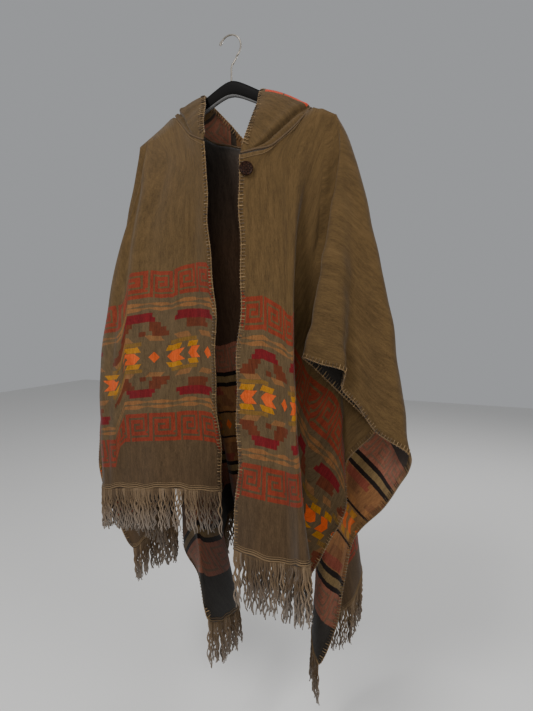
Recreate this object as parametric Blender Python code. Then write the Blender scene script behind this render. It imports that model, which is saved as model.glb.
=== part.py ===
"""Hooded andean poncho with an open front, hanging on a clothes hanger.

Metres, +Z up. The origin is the inside top of the hook's bend. The front faces -Y
and the wearer's left is at +X.
"""

import math

import bpy
from mathutils import Vector

# Cut of the cloth
WALL = 0.0015
HALF_WIDTH = 0.88
FRONT_LENGTH = 0.95
BACK_LENGTH = 1.01

# Hanger
HOOK_WIRE = 0.0021
HOOK_RADIUS = 0.027
HOOK_CENTRE_X = -0.003
HOOK_TIP_ANGLE = 162.0
HOOK_FOOT_ANGLE = -52.0
HOOK_STEPS = 18
TIP_BALL = 1.7
TIP_END = 1.2
STEM_X = 0.0
STEM_STEPS = 9
STEM_BEND = 2.2
STEM_FOOT_Z = -0.0985
ARM_HALF_SPAN = 0.207
ARM_TOP_Z = -0.099
ARM_SLOPE = 0.585
ARM_CROWN = 0.02
ARM_THICK = 0.013
ARM_TALL_MIDDLE = 0.036
ARM_TALL_END = 0.024
ARM_SIDES = 12
ARM_STATIONS = 36
ARM_ROUND_FROM = 0.93
ARM_ROUND_LEAST = 0.04
ARM_SQUARENESS = 0.7

# Where the cloth leaves the hanger's ends
SHOULDER_A = 0.19
SHOULDER_X = 0.205
SHOULDER_Z = -0.198
CAP_SHAPES = {
    1: dict(reach=0.047, rise=0.011, round=0.009),
    -1: dict(reach=0.039, rise=0.000, round=0.000),
}
CAP_RISE_OVER = 0.02
CAP_ROUND_FALL = 9
CAP_HALF_DEPTH = 0.016
CAP_SLOPE = 0.55
CAP_TURN_FROM = -60.0
CAP_TURN_SPAN = 70.0
SHOULDER_EDGE = {1: 0.190, -1: -0.141}
NECK_DEPTH = 0.0185

# Middle of the front opening at the hem, and how near counts as on an edge
OPENING_X = 0.05
NEAR = 1e-4

# Sampling of the body
COLUMN_STEP = 0.031
ROW_SHARES = (0.0, 0.05, 0.12, 0.22, 0.34, 0.47, 0.6, 0.73, 0.87, 1.0)
SOFTENING = (0, 36, 34, 20, 10, 6, 3, 2, 1, 0)
BOW_SKEW = 0.8

# Fringe
STRAND_PITCH = 0.0138
STRAND_WIDTH = 0.0085
STRAND_TIP = 0.4
STRAND_DROP = 0.112
STRAND_UNEVEN = 0.06
STRAND_SWAYS = (
    dict(wide=0.006, turn=1.7, start=0.0),
    dict(wide=0.004, turn=0.61, start=1.0),
)
STRIP_THICK = 0.003
STRIP_TALL = 0.007
STRIP_GAP = 0.0022

# Button
BUTTON_RADIUS = 0.0145
BUTTON_THICK = 0.005
BUTTON_SIDES = 24
BUTTON_A = 0.0165
BUTTON_DOWN = 0.032
BUTTON_CLEAR = 0.0012
BUTTON_PROFILE = (
    dict(radius=0.00, height=-0.50),
    dict(radius=0.80, height=-0.50),
    dict(radius=1.00, height=-0.20),
    dict(radius=1.00, height=0.20),
    dict(radius=0.90, height=0.50),
    dict(radius=0.72, height=0.32),
    dict(radius=0.45, height=0.42),
    dict(radius=0.00, height=0.50),
)

# Top of each panel: cloth across, cloth along, then where that point lies
TOP_LEFT_FRONT = (
    dict(a=0.00, b=0.16, x=0.074, y=-0.105, z=-0.296),
    dict(a=0.06, b=0.14, x=0.126, y=-0.075, z=-0.281),
    dict(a=0.12, b=0.07, x=0.171, y=-0.038, z=-0.232),
    dict(a=0.16, b=0.01, x=0.191, y=-0.016, z=-0.194),
    dict(a=0.19, b=0.00, x=0.205, y=-0.016, z=-0.198),
)
TOP_BACK = (
    dict(a=0.19, b=0.00, x=0.205, y=0.016, z=-0.198),
    dict(a=0.16, b=-0.01, x=0.191, y=0.018, z=-0.194),
    dict(a=0.10, b=-0.05, x=0.120, y=0.052, z=-0.205),
    dict(a=0.00, b=-0.09, x=0.020, y=0.066, z=-0.238),
    dict(a=-0.08, b=-0.06, x=-0.085, y=0.054, z=-0.213),
    dict(a=-0.13, b=-0.01, x=-0.142, y=0.018, z=-0.163),
    dict(a=-0.19, b=0.00, x=-0.205, y=0.016, z=-0.198),
)
TOP_RIGHT_FRONT = (
    dict(a=-0.19, b=0.00, x=-0.205, y=-0.016, z=-0.198),
    dict(a=-0.13, b=0.01, x=-0.142, y=-0.018, z=-0.163),
    dict(a=-0.09, b=0.07, x=-0.105, y=-0.040, z=-0.195),
    dict(a=-0.04, b=0.11, x=-0.064, y=-0.070, z=-0.233),
    dict(a=0.00, b=0.12, x=-0.022, y=-0.087, z=-0.252),
)

# Folds, in order round the garment from the left opening edge to the right one:
# cloth across (a) and along (b, + at the front) at the lower end, where that end
# hangs, and how far the column bows from the straight line to it
FRONT_LEFT_FOLDS = (
    dict(a=0.00, b=0.95, x=0.075, y=-0.140, z=-1.124, bx=0.000, by=0.010),
    dict(a=0.06, b=0.95, x=0.138, y=-0.152, z=-1.125, bx=0.000, by=0.000),
    dict(a=0.12, b=0.95, x=0.199, y=-0.140, z=-1.131, bx=-0.012, by=0.004),
    dict(a=0.18, b=0.95, x=0.240, y=-0.170, z=-1.116, bx=-0.028, by=-0.010),
)
LEFT_SIDE_FOLDS = (
    dict(a=0.205, b=0.95, x=0.250, y=-0.152, z=-1.116, bx=-0.030, by=-0.006),
    dict(a=0.25, b=0.95, x=0.224, y=-0.122, z=-1.120, bx=-0.030, by=0.000),
    dict(a=0.32, b=0.95, x=0.146, y=-0.088, z=-1.130, bx=-0.026, by=0.000),
    dict(a=0.44, b=0.95, x=0.070, y=-0.060, z=-1.140, bx=-0.022, by=0.000),
    dict(a=0.56, b=0.95, x=0.076, y=-0.010, z=-1.155, bx=-0.020, by=0.000),
    dict(a=0.72, b=0.95, x=0.130, y=0.026, z=-1.200, bx=-0.012, by=0.000),
    dict(a=0.88, b=0.95, x=0.163, y=0.045, z=-1.256, bx=0.000, by=0.000),
    dict(a=0.88, b=0.85, x=0.224, y=0.060, z=-1.151, bx=0.000, by=0.000),
    dict(a=0.88, b=0.75, x=0.257, y=0.070, z=-1.076, bx=0.000, by=0.000),
    dict(a=0.88, b=0.60, x=0.253, y=0.080, z=-0.972, bx=0.000, by=0.000),
    dict(a=0.88, b=0.45, x=0.322, y=0.066, z=-0.886, bx=0.010, by=0.000),
    dict(a=0.88, b=0.36, x=0.306, y=0.040, z=-0.850, bx=0.010, by=0.000),
    dict(a=0.88, b=0.20, x=0.252, y=0.010, z=-0.790, bx=0.004, by=0.000),
    dict(a=0.88, b=0.07, x=0.205, y=-0.024, z=-0.735, bx=0.000, by=0.000),
    dict(a=0.88, b=0.00, x=0.192, y=-0.048, z=-0.716, bx=0.000, by=0.000),
    dict(a=0.88, b=-0.06, x=0.238, y=-0.052, z=-0.729, bx=0.010, by=-0.010),
    dict(a=0.88, b=-0.11, x=0.284, y=-0.034, z=-0.744, bx=0.014, by=-0.010),
    dict(a=0.88, b=-0.16, x=0.268, y=-0.004, z=-0.785, bx=0.020, by=0.000),
    dict(a=0.88, b=-0.21, x=0.300, y=0.008, z=-0.821, bx=0.024, by=0.000),
    dict(a=0.88, b=-0.28, x=0.341, y=0.000, z=-0.872, bx=0.030, by=0.000),
    dict(a=0.88, b=-0.38, x=0.408, y=0.002, z=-0.912, bx=0.034, by=0.000),
    dict(a=0.88, b=-0.43, x=0.406, y=0.040, z=-0.953, bx=0.034, by=0.010),
    dict(a=0.88, b=-0.50, x=0.372, y=0.095, z=-1.014, bx=0.024, by=0.024),
    dict(a=0.88, b=-0.58, x=0.330, y=0.140, z=-1.086, bx=0.014, by=0.030),
    dict(a=0.88, b=-0.69, x=0.256, y=0.155, z=-1.178, bx=0.008, by=0.030),
    dict(a=0.88, b=-0.80, x=0.234, y=0.146, z=-1.295, bx=0.004, by=0.026),
    dict(a=0.88, b=-0.90, x=0.220, y=0.134, z=-1.398, bx=0.002, by=0.020),
    dict(a=0.88, b=-1.01, x=0.176, y=0.120, z=-1.508, bx=0.000, by=0.016),
    dict(a=0.82, b=-1.01, x=0.148, y=0.150, z=-1.470, bx=0.000, by=0.016),
    dict(a=0.75, b=-1.01, x=0.146, y=0.195, z=-1.428, bx=0.000, by=0.016),
    dict(a=0.66, b=-1.01, x=0.190, y=0.232, z=-1.426, bx=0.000, by=0.016),
    dict(a=0.58, b=-1.01, x=0.226, y=0.254, z=-1.396, bx=0.004, by=0.016),
    dict(a=0.50, b=-1.01, x=0.236, y=0.306, z=-1.340, bx=0.006, by=0.012),
    dict(a=0.42, b=-1.01, x=0.204, y=0.340, z=-1.290, bx=0.004, by=0.004),
    dict(a=0.30, b=-1.01, x=0.176, y=0.280, z=-1.235, bx=0.000, by=-0.010),
)
BACK_FOLDS = (
    dict(a=0.19, b=-1.01, x=0.150, y=0.222, z=-1.205, bx=0.000, by=-0.024),
    dict(a=0.12, b=-1.01, x=0.105, y=0.278, z=-1.203, bx=0.000, by=-0.020),
    dict(a=0.04, b=-1.01, x=0.055, y=0.208, z=-1.205, bx=0.000, by=-0.026),
    dict(a=-0.04, b=-1.01, x=0.005, y=0.218, z=-1.205, bx=0.000, by=-0.026),
    dict(a=-0.12, b=-1.01, x=-0.045, y=0.282, z=-1.203, bx=0.004, by=-0.020),
    dict(a=-0.19, b=-1.01, x=-0.092, y=0.222, z=-1.205, bx=0.016, by=-0.024),
)
RIGHT_SIDE_FOLDS = (
    dict(a=-0.28, b=-1.01, x=-0.132, y=0.270, z=-1.212, bx=0.006, by=-0.006),
    dict(a=-0.40, b=-1.01, x=-0.162, y=0.362, z=-1.230, bx=0.000, by=0.006),
    dict(a=-0.50, b=-1.01, x=-0.206, y=0.358, z=-1.260, bx=-0.008, by=0.010),
    dict(a=-0.66, b=-1.01, x=-0.160, y=0.250, z=-1.360, bx=-0.014, by=0.006),
    dict(a=-0.77, b=-1.01, x=-0.084, y=0.184, z=-1.442, bx=-0.012, by=0.004),
    dict(a=-0.82, b=-1.01, x=-0.068, y=0.090, z=-1.425, bx=-0.004, by=0.000),
    dict(a=-0.88, b=-1.01, x=-0.074, y=0.002, z=-1.389, bx=0.000, by=0.000),
    dict(a=-0.88, b=-0.92, x=-0.112, y=0.022, z=-1.290, bx=0.004, by=0.006),
    dict(a=-0.88, b=-0.82, x=-0.190, y=0.076, z=-1.254, bx=0.000, by=0.008),
    dict(a=-0.88, b=-0.71, x=-0.209, y=0.120, z=-1.153, bx=0.000, by=0.010),
    dict(a=-0.88, b=-0.58, x=-0.250, y=0.150, z=-1.050, bx=0.000, by=0.010),
    dict(a=-0.88, b=-0.45, x=-0.325, y=0.208, z=-0.958, bx=-0.010, by=0.012),
    dict(a=-0.88, b=-0.31, x=-0.405, y=0.252, z=-0.880, bx=-0.020, by=0.014),
    dict(a=-0.88, b=-0.22, x=-0.446, y=0.232, z=-0.842, bx=-0.026, by=0.012),
    dict(a=-0.88, b=-0.14, x=-0.430, y=0.178, z=-0.828, bx=-0.026, by=0.006),
    dict(a=-0.88, b=-0.03, x=-0.366, y=0.130, z=-0.832, bx=-0.020, by=0.000),
    dict(a=-0.88, b=0.05, x=-0.345, y=0.104, z=-0.838, bx=-0.018, by=0.000),
    dict(a=-0.88, b=0.12, x=-0.376, y=0.084, z=-0.850, bx=-0.022, by=0.000),
    dict(a=-0.88, b=0.22, x=-0.410, y=0.066, z=-0.878, bx=-0.024, by=0.000),
    dict(a=-0.88, b=0.35, x=-0.437, y=0.052, z=-0.928, bx=-0.024, by=0.000),
    dict(a=-0.88, b=0.50, x=-0.445, y=0.040, z=-1.000, bx=-0.020, by=0.000),
    dict(a=-0.88, b=0.66, x=-0.434, y=0.036, z=-1.080, bx=-0.014, by=0.000),
    dict(a=-0.88, b=0.82, x=-0.396, y=0.048, z=-1.186, bx=-0.008, by=0.000),
    dict(a=-0.88, b=0.95, x=-0.353, y=0.066, z=-1.278, bx=-0.006, by=0.000),
    dict(a=-0.80, b=0.95, x=-0.290, y=0.052, z=-1.228, bx=-0.008, by=0.000),
    dict(a=-0.72, b=0.95, x=-0.222, y=0.038, z=-1.190, bx=-0.008, by=0.000),
    dict(a=-0.65, b=0.95, x=-0.170, y=0.016, z=-1.160, bx=-0.010, by=0.000),
    dict(a=-0.57, b=0.95, x=-0.194, y=-0.010, z=-1.125, bx=-0.026, by=0.000),
    dict(a=-0.50, b=0.95, x=-0.250, y=-0.026, z=-1.094, bx=-0.050, by=0.000),
    dict(a=-0.43, b=0.95, x=-0.308, y=-0.044, z=-1.072, bx=-0.078, by=0.000),
    dict(a=-0.39, b=0.95, x=-0.324, y=-0.080, z=-1.060, bx=-0.086, by=-0.006),
    dict(a=-0.34, b=0.95, x=-0.292, y=-0.114, z=-1.048, bx=-0.060, by=-0.012),
    dict(a=-0.27, b=0.95, x=-0.228, y=-0.118, z=-1.037, bx=-0.030, by=-0.006),
)
FRONT_RIGHT_FOLDS = (
    dict(a=-0.19, b=0.95, x=-0.154, y=-0.120, z=-1.026, bx=-0.006, by=-0.006),
    dict(a=-0.10, b=0.95, x=-0.062, y=-0.100, z=-1.022, bx=0.000, by=0.000),
    dict(a=0.00, b=0.95, x=0.005, y=-0.070, z=-1.029, bx=0.004, by=0.000),
)

# Hood, lying back: seam point, rim point, how far the cloth between them hangs
# down or rises, and how far it stands out
HOOD_RINGS = (
    dict(sx=0.0755, sy=-0.104, sz=-0.2905, rx=0.077, ry=-0.101, rz=-0.276, lift=0.000, out=0.000),
    dict(sx=0.100, sy=-0.090, sz=-0.283, rx=0.079, ry=-0.090, rz=-0.256, lift=0.004, out=-0.004),
    dict(sx=0.127, sy=-0.074, sz=-0.2755, rx=0.081, ry=-0.070, rz=-0.222, lift=0.012, out=-0.008),
    dict(sx=0.172, sy=-0.036, sz=-0.2255, rx=0.083, ry=-0.036, rz=-0.170, lift=0.020, out=-0.010),
    dict(sx=0.192, sy=-0.006, sz=-0.1880, rx=0.078, ry=0.000, rz=-0.1315, lift=0.013, out=0.002),
    dict(sx=0.186, sy=0.022, sz=-0.1885, rx=0.090, ry=0.056, rz=-0.140, lift=0.002, out=0.026),
    dict(sx=0.154, sy=0.039, sz=-0.1950, rx=0.096, ry=0.097, rz=-0.152, lift=-0.050, out=0.051),
    dict(sx=0.118, sy=0.055, sz=-0.2010, rx=0.080, ry=0.126, rz=-0.176, lift=-0.125, out=0.058),
    dict(sx=0.070, sy=0.063, sz=-0.2180, rx=0.048, ry=0.140, rz=-0.204, lift=-0.230, out=0.062),
    dict(sx=0.020, sy=0.069, sz=-0.2340, rx=0.010, ry=0.142, rz=-0.214, lift=-0.250, out=0.064),
    dict(sx=-0.035, sy=0.064, sz=-0.2220, rx=-0.032, ry=0.136, rz=-0.192, lift=-0.232, out=0.062),
    dict(sx=-0.084, sy=0.057, sz=-0.2090, rx=-0.066, ry=0.122, rz=-0.152, lift=-0.125, out=0.052),
    dict(sx=-0.114, sy=0.040, sz=-0.1840, rx=-0.086, ry=0.092, rz=-0.126, lift=-0.020, out=0.034),
    dict(sx=-0.138, sy=0.023, sz=-0.1600, rx=-0.080, ry=0.052, rz=-0.126, lift=-0.008, out=0.030),
    dict(sx=-0.143, sy=-0.008, sz=-0.1560, rx=-0.066, ry=-0.004, rz=-0.1245, lift=0.006, out=0.001),
    dict(sx=-0.107, sy=-0.038, sz=-0.1900, rx=-0.048, ry=-0.036, rz=-0.155, lift=0.006, out=-0.008),
    dict(sx=-0.065, sy=-0.068, sz=-0.2265, rx=-0.036, ry=-0.066, rz=-0.202, lift=0.006, out=-0.006),
    dict(sx=-0.0235, sy=-0.086, sz=-0.2465, rx=-0.022, ry=-0.084, rz=-0.234, lift=0.000, out=0.000),
)
HOOD_STEP = 0.024
HOOD_NEAR = 0.1
HOOD_NEAR_OUT = 0.5
HOOD_FAR = 0.8
HOOD_SHARES = (0.0, 0.12, 0.26, 0.4, 0.52, 0.64, 0.76, 0.88, 1.0)
HOOD_KEYS = ("sx", "sy", "sz", "rx", "ry", "rz", "lift", "out")

FOLD_KEYS = ("x", "y", "z", "bx", "by", "a", "b")

MATERIALS = dict(
    cloth=dict(colour=(0.13, 0.085, 0.045), rough=0.95, metal=0.0),
    hood_cloth=dict(colour=(0.12, 0.08, 0.045), rough=0.95, metal=0.0),
    yarn=dict(colour=(0.16, 0.11, 0.07), rough=0.95, metal=0.0),
    steel=dict(colour=(0.75, 0.75, 0.74), rough=0.2, metal=1.0),
    plastic=dict(colour=(0.01, 0.01, 0.01), rough=0.35, metal=0.0),
    horn=dict(colour=(0.05, 0.02, 0.012), rough=0.5, metal=0.0),
)


def clear_scene():
    for obj in list(bpy.data.objects):
        bpy.data.objects.remove(obj, do_unlink=True)


def material(name):
    values = MATERIALS[name]
    made = bpy.data.materials.new(name)
    made.use_nodes = True
    shader = made.node_tree.nodes["Principled BSDF"]
    shader.inputs["Base Color"].default_value = (*values["colour"], 1.0)
    shader.inputs["Roughness"].default_value = values["rough"]
    shader.inputs["Metallic"].default_value = values["metal"]
    return made


def add_mesh(name, points, faces, slot, smooth=True):
    mesh = bpy.data.meshes.new(name)
    mesh.from_pydata([tuple(p) for p in points], [], faces)
    mesh.update()
    if smooth:
        for polygon in mesh.polygons:
            polygon.use_smooth = True
    obj = bpy.data.objects.new(name, mesh)
    obj.data.materials.append(slot)
    bpy.context.scene.collection.objects.link(obj)
    return obj


def values_of(row, keys):
    return [row[key] for key in keys]


def mix(first, second, share):
    return [p + (q - p) * share for p, q in zip(first, second)]


def knots_of(rows, width):
    """Centripetal knots over the first numbers of each row."""
    knots = [0.0]
    for before, after in zip(rows, rows[1:]):
        gap = math.dist(before[:width], after[:width])
        knots.append(knots[-1] + math.sqrt(max(gap, 1e-4)))
    return knots


def smooth_rows(rows, step, width):
    """Rows of numbers made denser by a centripetal Catmull-Rom curve through all of them."""
    knots = knots_of(rows, width)
    dense = []
    for i in range(len(rows) - 1):
        p1, p2 = rows[i], rows[i + 1]
        t1, t2 = knots[i], knots[i + 1]
        p0 = rows[i - 1] if i else mix(p1, p2, -1.0)
        t0 = knots[i - 1] if i else 2 * t1 - t2
        last = i == len(rows) - 2
        p3 = mix(p1, p2, 2.0) if last else rows[i + 2]
        t3 = 2 * t2 - t1 if last else knots[i + 2]
        count = max(1, round(math.dist(p1[:width], p2[:width]) / step))
        for k in range(count):
            t = t1 + (t2 - t1) * k / count
            a1 = mix(p0, p1, (t - t0) / (t1 - t0))
            a2 = mix(p1, p2, (t - t1) / (t2 - t1))
            a3 = mix(p2, p3, (t - t2) / (t3 - t2))
            b1 = mix(a1, a2, (t - t0) / (t2 - t0))
            b2 = mix(a2, a3, (t - t1) / (t3 - t1))
            dense.append(mix(b1, b2, (t - t1) / (t2 - t1)))
    dense.append(list(rows[-1]))
    return dense


def table_at(table, a):
    """The table's point (x, y, z, b) at cloth position a."""
    rows = sorted(table, key=lambda row: row["a"])
    a = min(max(a, rows[0]["a"]), rows[-1]["a"])
    for low, high in zip(rows, rows[1:]):
        if a <= high["a"]:
            share = (a - low["a"]) / (high["a"] - low["a"])
            return mix(values_of(low, "xyzb"), values_of(high, "xyzb"), share)
    return values_of(rows[-1], "xyzb")


def smoothstep(value):
    value = min(max(value, 0.0), 1.0)
    return value * value * (3 - 2 * value)


def cap_top(a, b):
    """Where a column of a side starts, round the end of the shoulder."""
    side = math.copysign(1.0, a)
    shape = CAP_SHAPES[int(side)]
    angle = math.atan2(b, abs(a) - SHOULDER_A)
    reach = shape["reach"] * math.cos(angle)
    turned = smoothstep((math.degrees(angle) - CAP_TURN_FROM) / CAP_TURN_SPAN)
    y = CAP_HALF_DEPTH * (1 - 2 * turned)
    rise = shape["rise"] * smoothstep(reach / CAP_RISE_OVER)
    return [side * (SHOULDER_X + reach), y, SHOULDER_Z - CAP_SLOPE * reach + rise, 0.0]


def cap_round(a, b):
    """How far out a column of a side swells just below the shoulder."""
    if abs(a) < SHOULDER_A:
        return 0.0
    side = math.copysign(1.0, a)
    angle = math.atan2(b, abs(a) - SHOULDER_A)
    return side * CAP_SHAPES[int(side)]["round"] * math.cos(angle)


def column_top(a, b):
    if abs(a) >= SHOULDER_A:
        return cap_top(a, b)
    if b < 0:
        return table_at(TOP_BACK, a)
    return table_at(TOP_LEFT_FRONT if a >= 0 else TOP_RIGHT_FRONT, a)


def body_columns():
    """Each column: its top point, its end, its bow and its cloth coordinates."""
    table = FRONT_LEFT_FOLDS + LEFT_SIDE_FOLDS + BACK_FOLDS + RIGHT_SIDE_FOLDS + FRONT_RIGHT_FOLDS
    rows = [values_of(row, FOLD_KEYS) for row in table]
    dense = smooth_rows(rows, COLUMN_STEP, 3)
    columns = []
    for index, (x, y, z, bx, by, a, b) in enumerate(dense):
        a = min(max(a, -HALF_WIDTH), HALF_WIDTH)
        b = min(max(b, -BACK_LENGTH), FRONT_LENGTH)
        if abs(a) < NEAR and b > 0:
            top = table_at(TOP_LEFT_FRONT if index == 0 else TOP_RIGHT_FRONT, 0.0)
        else:
            top = column_top(a, b)
        ends = dict(top=Vector(top[:3]), end=Vector((x, y, z)), bow=Vector((bx, by, 0.0)))
        columns.append(dict(ends, swell=Vector((cap_round(a, b), 0.0, 0.0)), a=a, b=b))
    return columns


def column_points(column):
    points = []
    widest = 1 / (CAP_ROUND_FALL + 1)
    most = widest * (1 - widest) ** CAP_ROUND_FALL
    for share in ROW_SHARES:
        bulge = math.sin(math.pi * share**BOW_SKEW)
        swell = share * (1 - share) ** CAP_ROUND_FALL / most
        straight = column["top"].lerp(column["end"], share)
        points.append(straight + column["bow"] * bulge + column["swell"] * swell)
    return points


def soften(points, row, tall):
    """One pass along a row: folds grow round and shallow towards the shoulders."""
    old = points[row::tall]
    for i in range(1, len(old) - 1):
        points[i * tall + row] = (old[i - 1] + old[i] * 2 + old[i + 1]) / 4


def zip_shoulder(front, back, points):
    """Triangles that close the shoulder line between two chains of point indices,
    both running outwards. They end on the same point."""
    faces = []
    i = j = 0
    while i < len(front) - 1 or j < len(back) - 1:
        step_front = j == len(back) - 1
        if not step_front and i < len(front) - 1:
            step_front = abs(points[front[i + 1]].x) <= abs(points[back[j + 1]].x)
        if step_front:
            corner = (front[i], front[i + 1], back[j])
            i += 1
        else:
            corner = (front[i], back[j + 1], back[j])
            j += 1
        if len(set(corner)) == 3:
            faces.append(corner)
    return faces


def body_surface():
    """The open sheet: points and faces that look outwards."""
    columns = body_columns()
    tall = len(ROW_SHARES)
    points = []
    for column in columns:
        points.extend(column_points(column))
    for j, passes in enumerate(SOFTENING):
        for _ in range(passes):
            soften(points, j, tall)
    faces = []
    for i in range(len(columns) - 1):
        for j in range(tall - 1):
            k = i * tall + j
            faces.append((k, k + 1, k + tall + 1, k + tall))
    tops = [i * tall for i in range(len(columns))]
    for side in (1, -1):
        on = [k for k, column in zip(tops, columns) if side * column["top"].x > 0]
        shoulder = SHOULDER_EDGE[side]
        on = [k for k in on if side * points[k].x >= side * shoulder - 1e-6]
        on = [k for k in on if abs(points[k].y) < NECK_DEPTH]
        tip = max(on, key=lambda k: side * points[k].x)
        at = on.index(tip)
        first, second = on[: at + 1], on[at:][::-1]
        faces.extend(zip_shoulder(first, second, points))
    return columns, points, faces


def normals_of(points, faces):
    normals = [Vector((0.0, 0.0, 0.0)) for _ in points]
    for face in faces:
        first = points[face[0]]
        total = Vector((0.0, 0.0, 0.0))
        for k in range(1, len(face) - 1):
            total += (points[face[k]] - first).cross(points[face[k + 1]] - first)
        for k in face:
            normals[k] += total.normalized()
    return [n.normalized() for n in normals]


def split(points, faces):
    """Each four-sided face as two triangles across its shorter diagonal."""
    made = []
    for face in faces:
        if len(face) == 3:
            made.append(face)
            continue
        a, b, c, d = face
        if (points[a] - points[c]).length < (points[b] - points[d]).length:
            made += [(a, b, c), (a, c, d)]
        else:
            made += [(a, b, d), (b, c, d)]
    return made


def thicken(points, faces, thick):
    """A closed wall round an open sheet."""
    faces = split(points, faces)
    normals = normals_of(points, faces)
    count = len(points)
    outer = [p + n * thick / 2 for p, n in zip(points, normals)]
    inner = [p - n * thick / 2 for p, n in zip(points, normals)]
    walls = list(faces) + [tuple(k + count for k in reversed(face)) for face in faces]
    used = {}
    for face in faces:
        for k in range(len(face)):
            edge = (face[k], face[(k + 1) % len(face)])
            used[edge] = True
    for p, q in used:
        if (q, p) not in used:
            walls.append((q, p, p + count, q + count))
    return outer + inner, walls


def hood_surface():
    rows = [values_of(row, HOOD_KEYS) for row in HOOD_RINGS]
    dense = smooth_rows(rows, HOOD_STEP, 3)
    tall = len(HOOD_SHARES)
    points = []
    for sx, sy, sz, rx, ry, rz, lift, out in dense:
        seam, rim = Vector((sx, sy, sz)), Vector((rx, ry, rz))
        near = seam.lerp(rim, HOOD_NEAR) + Vector((0.0, out * HOOD_NEAR_OUT, lift))
        far = seam.lerp(rim, HOOD_FAR) + Vector((0.0, out, lift))
        for share in HOOD_SHARES:
            rest = 1 - share
            points.append(
                seam * rest**3 + near * 3 * rest**2 * share + far * 3 * rest * share**2 + rim * share**3
            )
    faces = []
    for i in range(len(dense) - 1):
        for j in range(tall - 1):
            k = i * tall + j
            faces.append((k, k + tall, k + tall + 1, k + 1))
    return points, faces


def resample(line, pitch):
    """Points evenly along a polyline of (position, direction, normal)."""
    lengths = [0.0]
    for before, after in zip(line, line[1:]):
        lengths.append(lengths[-1] + (after[0] - before[0]).length)
    count = max(2, round(lengths[-1] / pitch))
    made = []
    k = 0
    for i in range(count * 2 + 1):
        target = lengths[-1] * i / (count * 2)
        while k < len(line) - 2 and lengths[k + 1] < target:
            k += 1
        share = (target - lengths[k]) / (lengths[k + 1] - lengths[k])
        made.append([p.lerp(q, share) for p, q in zip(line[k], line[k + 1])])
    return made


def fringe(line):
    """One strip with its strands: the points and faces of a closed body."""
    stations = resample(line, STRAND_PITCH)
    half_share = STRAND_WIDTH / STRAND_PITCH
    cuts = []
    for i in range(1, len(stations), 2):
        for side in (-1, 1):
            base = stations[i + side]
            cuts.append([p.lerp(q, half_share) for p, q in zip(stations[i], base)])
    points = []
    for place, down, normal in cuts:
        across = normal.normalized() * STRIP_THICK / 2
        for depth in (STRIP_GAP, STRIP_GAP + STRIP_TALL):
            points.append(place + down * depth + across)
            points.append(place + down * depth - across)
    faces = []
    last = len(cuts) - 1
    for i in range(last):
        k = 4 * i
        faces.append((k, k + 2, k + 6, k + 4))
        faces.append((k + 5, k + 7, k + 3, k + 1))
        faces.append((k + 1, k, k + 4, k + 5))
        if i % 2:
            faces.append((k + 2, k + 3, k + 7, k + 6))
    faces.append((0, 1, 3, 2))
    faces.append((4 * last, 4 * last + 2, 4 * last + 3, 4 * last + 1))
    for i in range(0, last, 2):
        ring = [4 * i + 2, 4 * i + 3, 4 * i + 7, 4 * i + 6]
        centre = sum((points[k] for k in ring), Vector()) / 4
        sway = sum(row["wide"] * math.sin(row["turn"] * i + row["start"]) for row in STRAND_SWAYS)
        drop = STRAND_DROP * (1 - STRAND_UNEVEN + STRAND_UNEVEN * math.sin(2.3 * i + 0.5))
        along = (points[ring[2]] - points[ring[1]]).normalized()
        foot = centre + Vector((0.0, 0.0, -drop)) + along * sway
        start = len(points)
        for k in ring:
            points.append(foot + (points[k] - centre) * STRAND_TIP)
        for n in range(4):
            m = (n + 1) % 4
            faces.append((ring[n], ring[m], start + m, start + n))
        faces.append((start, start + 1, start + 2, start + 3))
    return points, faces


def hem_line(columns, points, normals, wanted):
    tall = len(ROW_SHARES)
    line = []
    for i, column in enumerate(columns):
        if not wanted(column):
            continue
        k = i * tall + tall - 1
        down = (points[k] - points[k - 1]).normalized()
        line.append([points[k], down, normals[k]])
    return line


def arm_section(x):
    """Ring of the hanger's arm at x."""
    reach = abs(x) / ARM_HALF_SPAN
    top = ARM_TOP_Z - ARM_SLOPE * (math.hypot(x, ARM_CROWN) - ARM_CROWN)
    full = ARM_TALL_MIDDLE + (ARM_TALL_END - ARM_TALL_MIDDLE) * reach
    middle = top - full / 2
    past = max(0.0, (reach - ARM_ROUND_FROM) / (1 - ARM_ROUND_FROM))
    end = math.sqrt(max(1 - past**2, ARM_ROUND_LEAST))
    tall = full * end
    thick = ARM_THICK * end
    ring = []
    for k in range(ARM_SIDES):
        angle = 2 * math.pi * k / ARM_SIDES
        across = math.copysign(abs(math.cos(angle)) ** ARM_SQUARENESS, math.cos(angle))
        up = math.copysign(abs(math.sin(angle)) ** ARM_SQUARENESS, math.sin(angle))
        ring.append(Vector((x, across * thick / 2, middle + up * tall / 2)))
    return ring


def hanger_body():
    points = []
    for i in range(ARM_STATIONS + 1):
        along = 2 * i / ARM_STATIONS - 1
        share = (along + math.sin(math.pi * along / 2)) / 2
        points.extend(arm_section(ARM_HALF_SPAN * share))
    faces = []
    for i in range(ARM_STATIONS):
        for k in range(ARM_SIDES):
            m = (k + 1) % ARM_SIDES
            p, q = i * ARM_SIDES, (i + 1) * ARM_SIDES
            faces.append((p + m, q + m, q + k, p + k))
    last = ARM_STATIONS * ARM_SIDES
    faces.append(tuple(range(ARM_SIDES - 1, -1, -1)))
    faces.append(tuple(range(last, last + ARM_SIDES)))
    return points, faces


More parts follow.
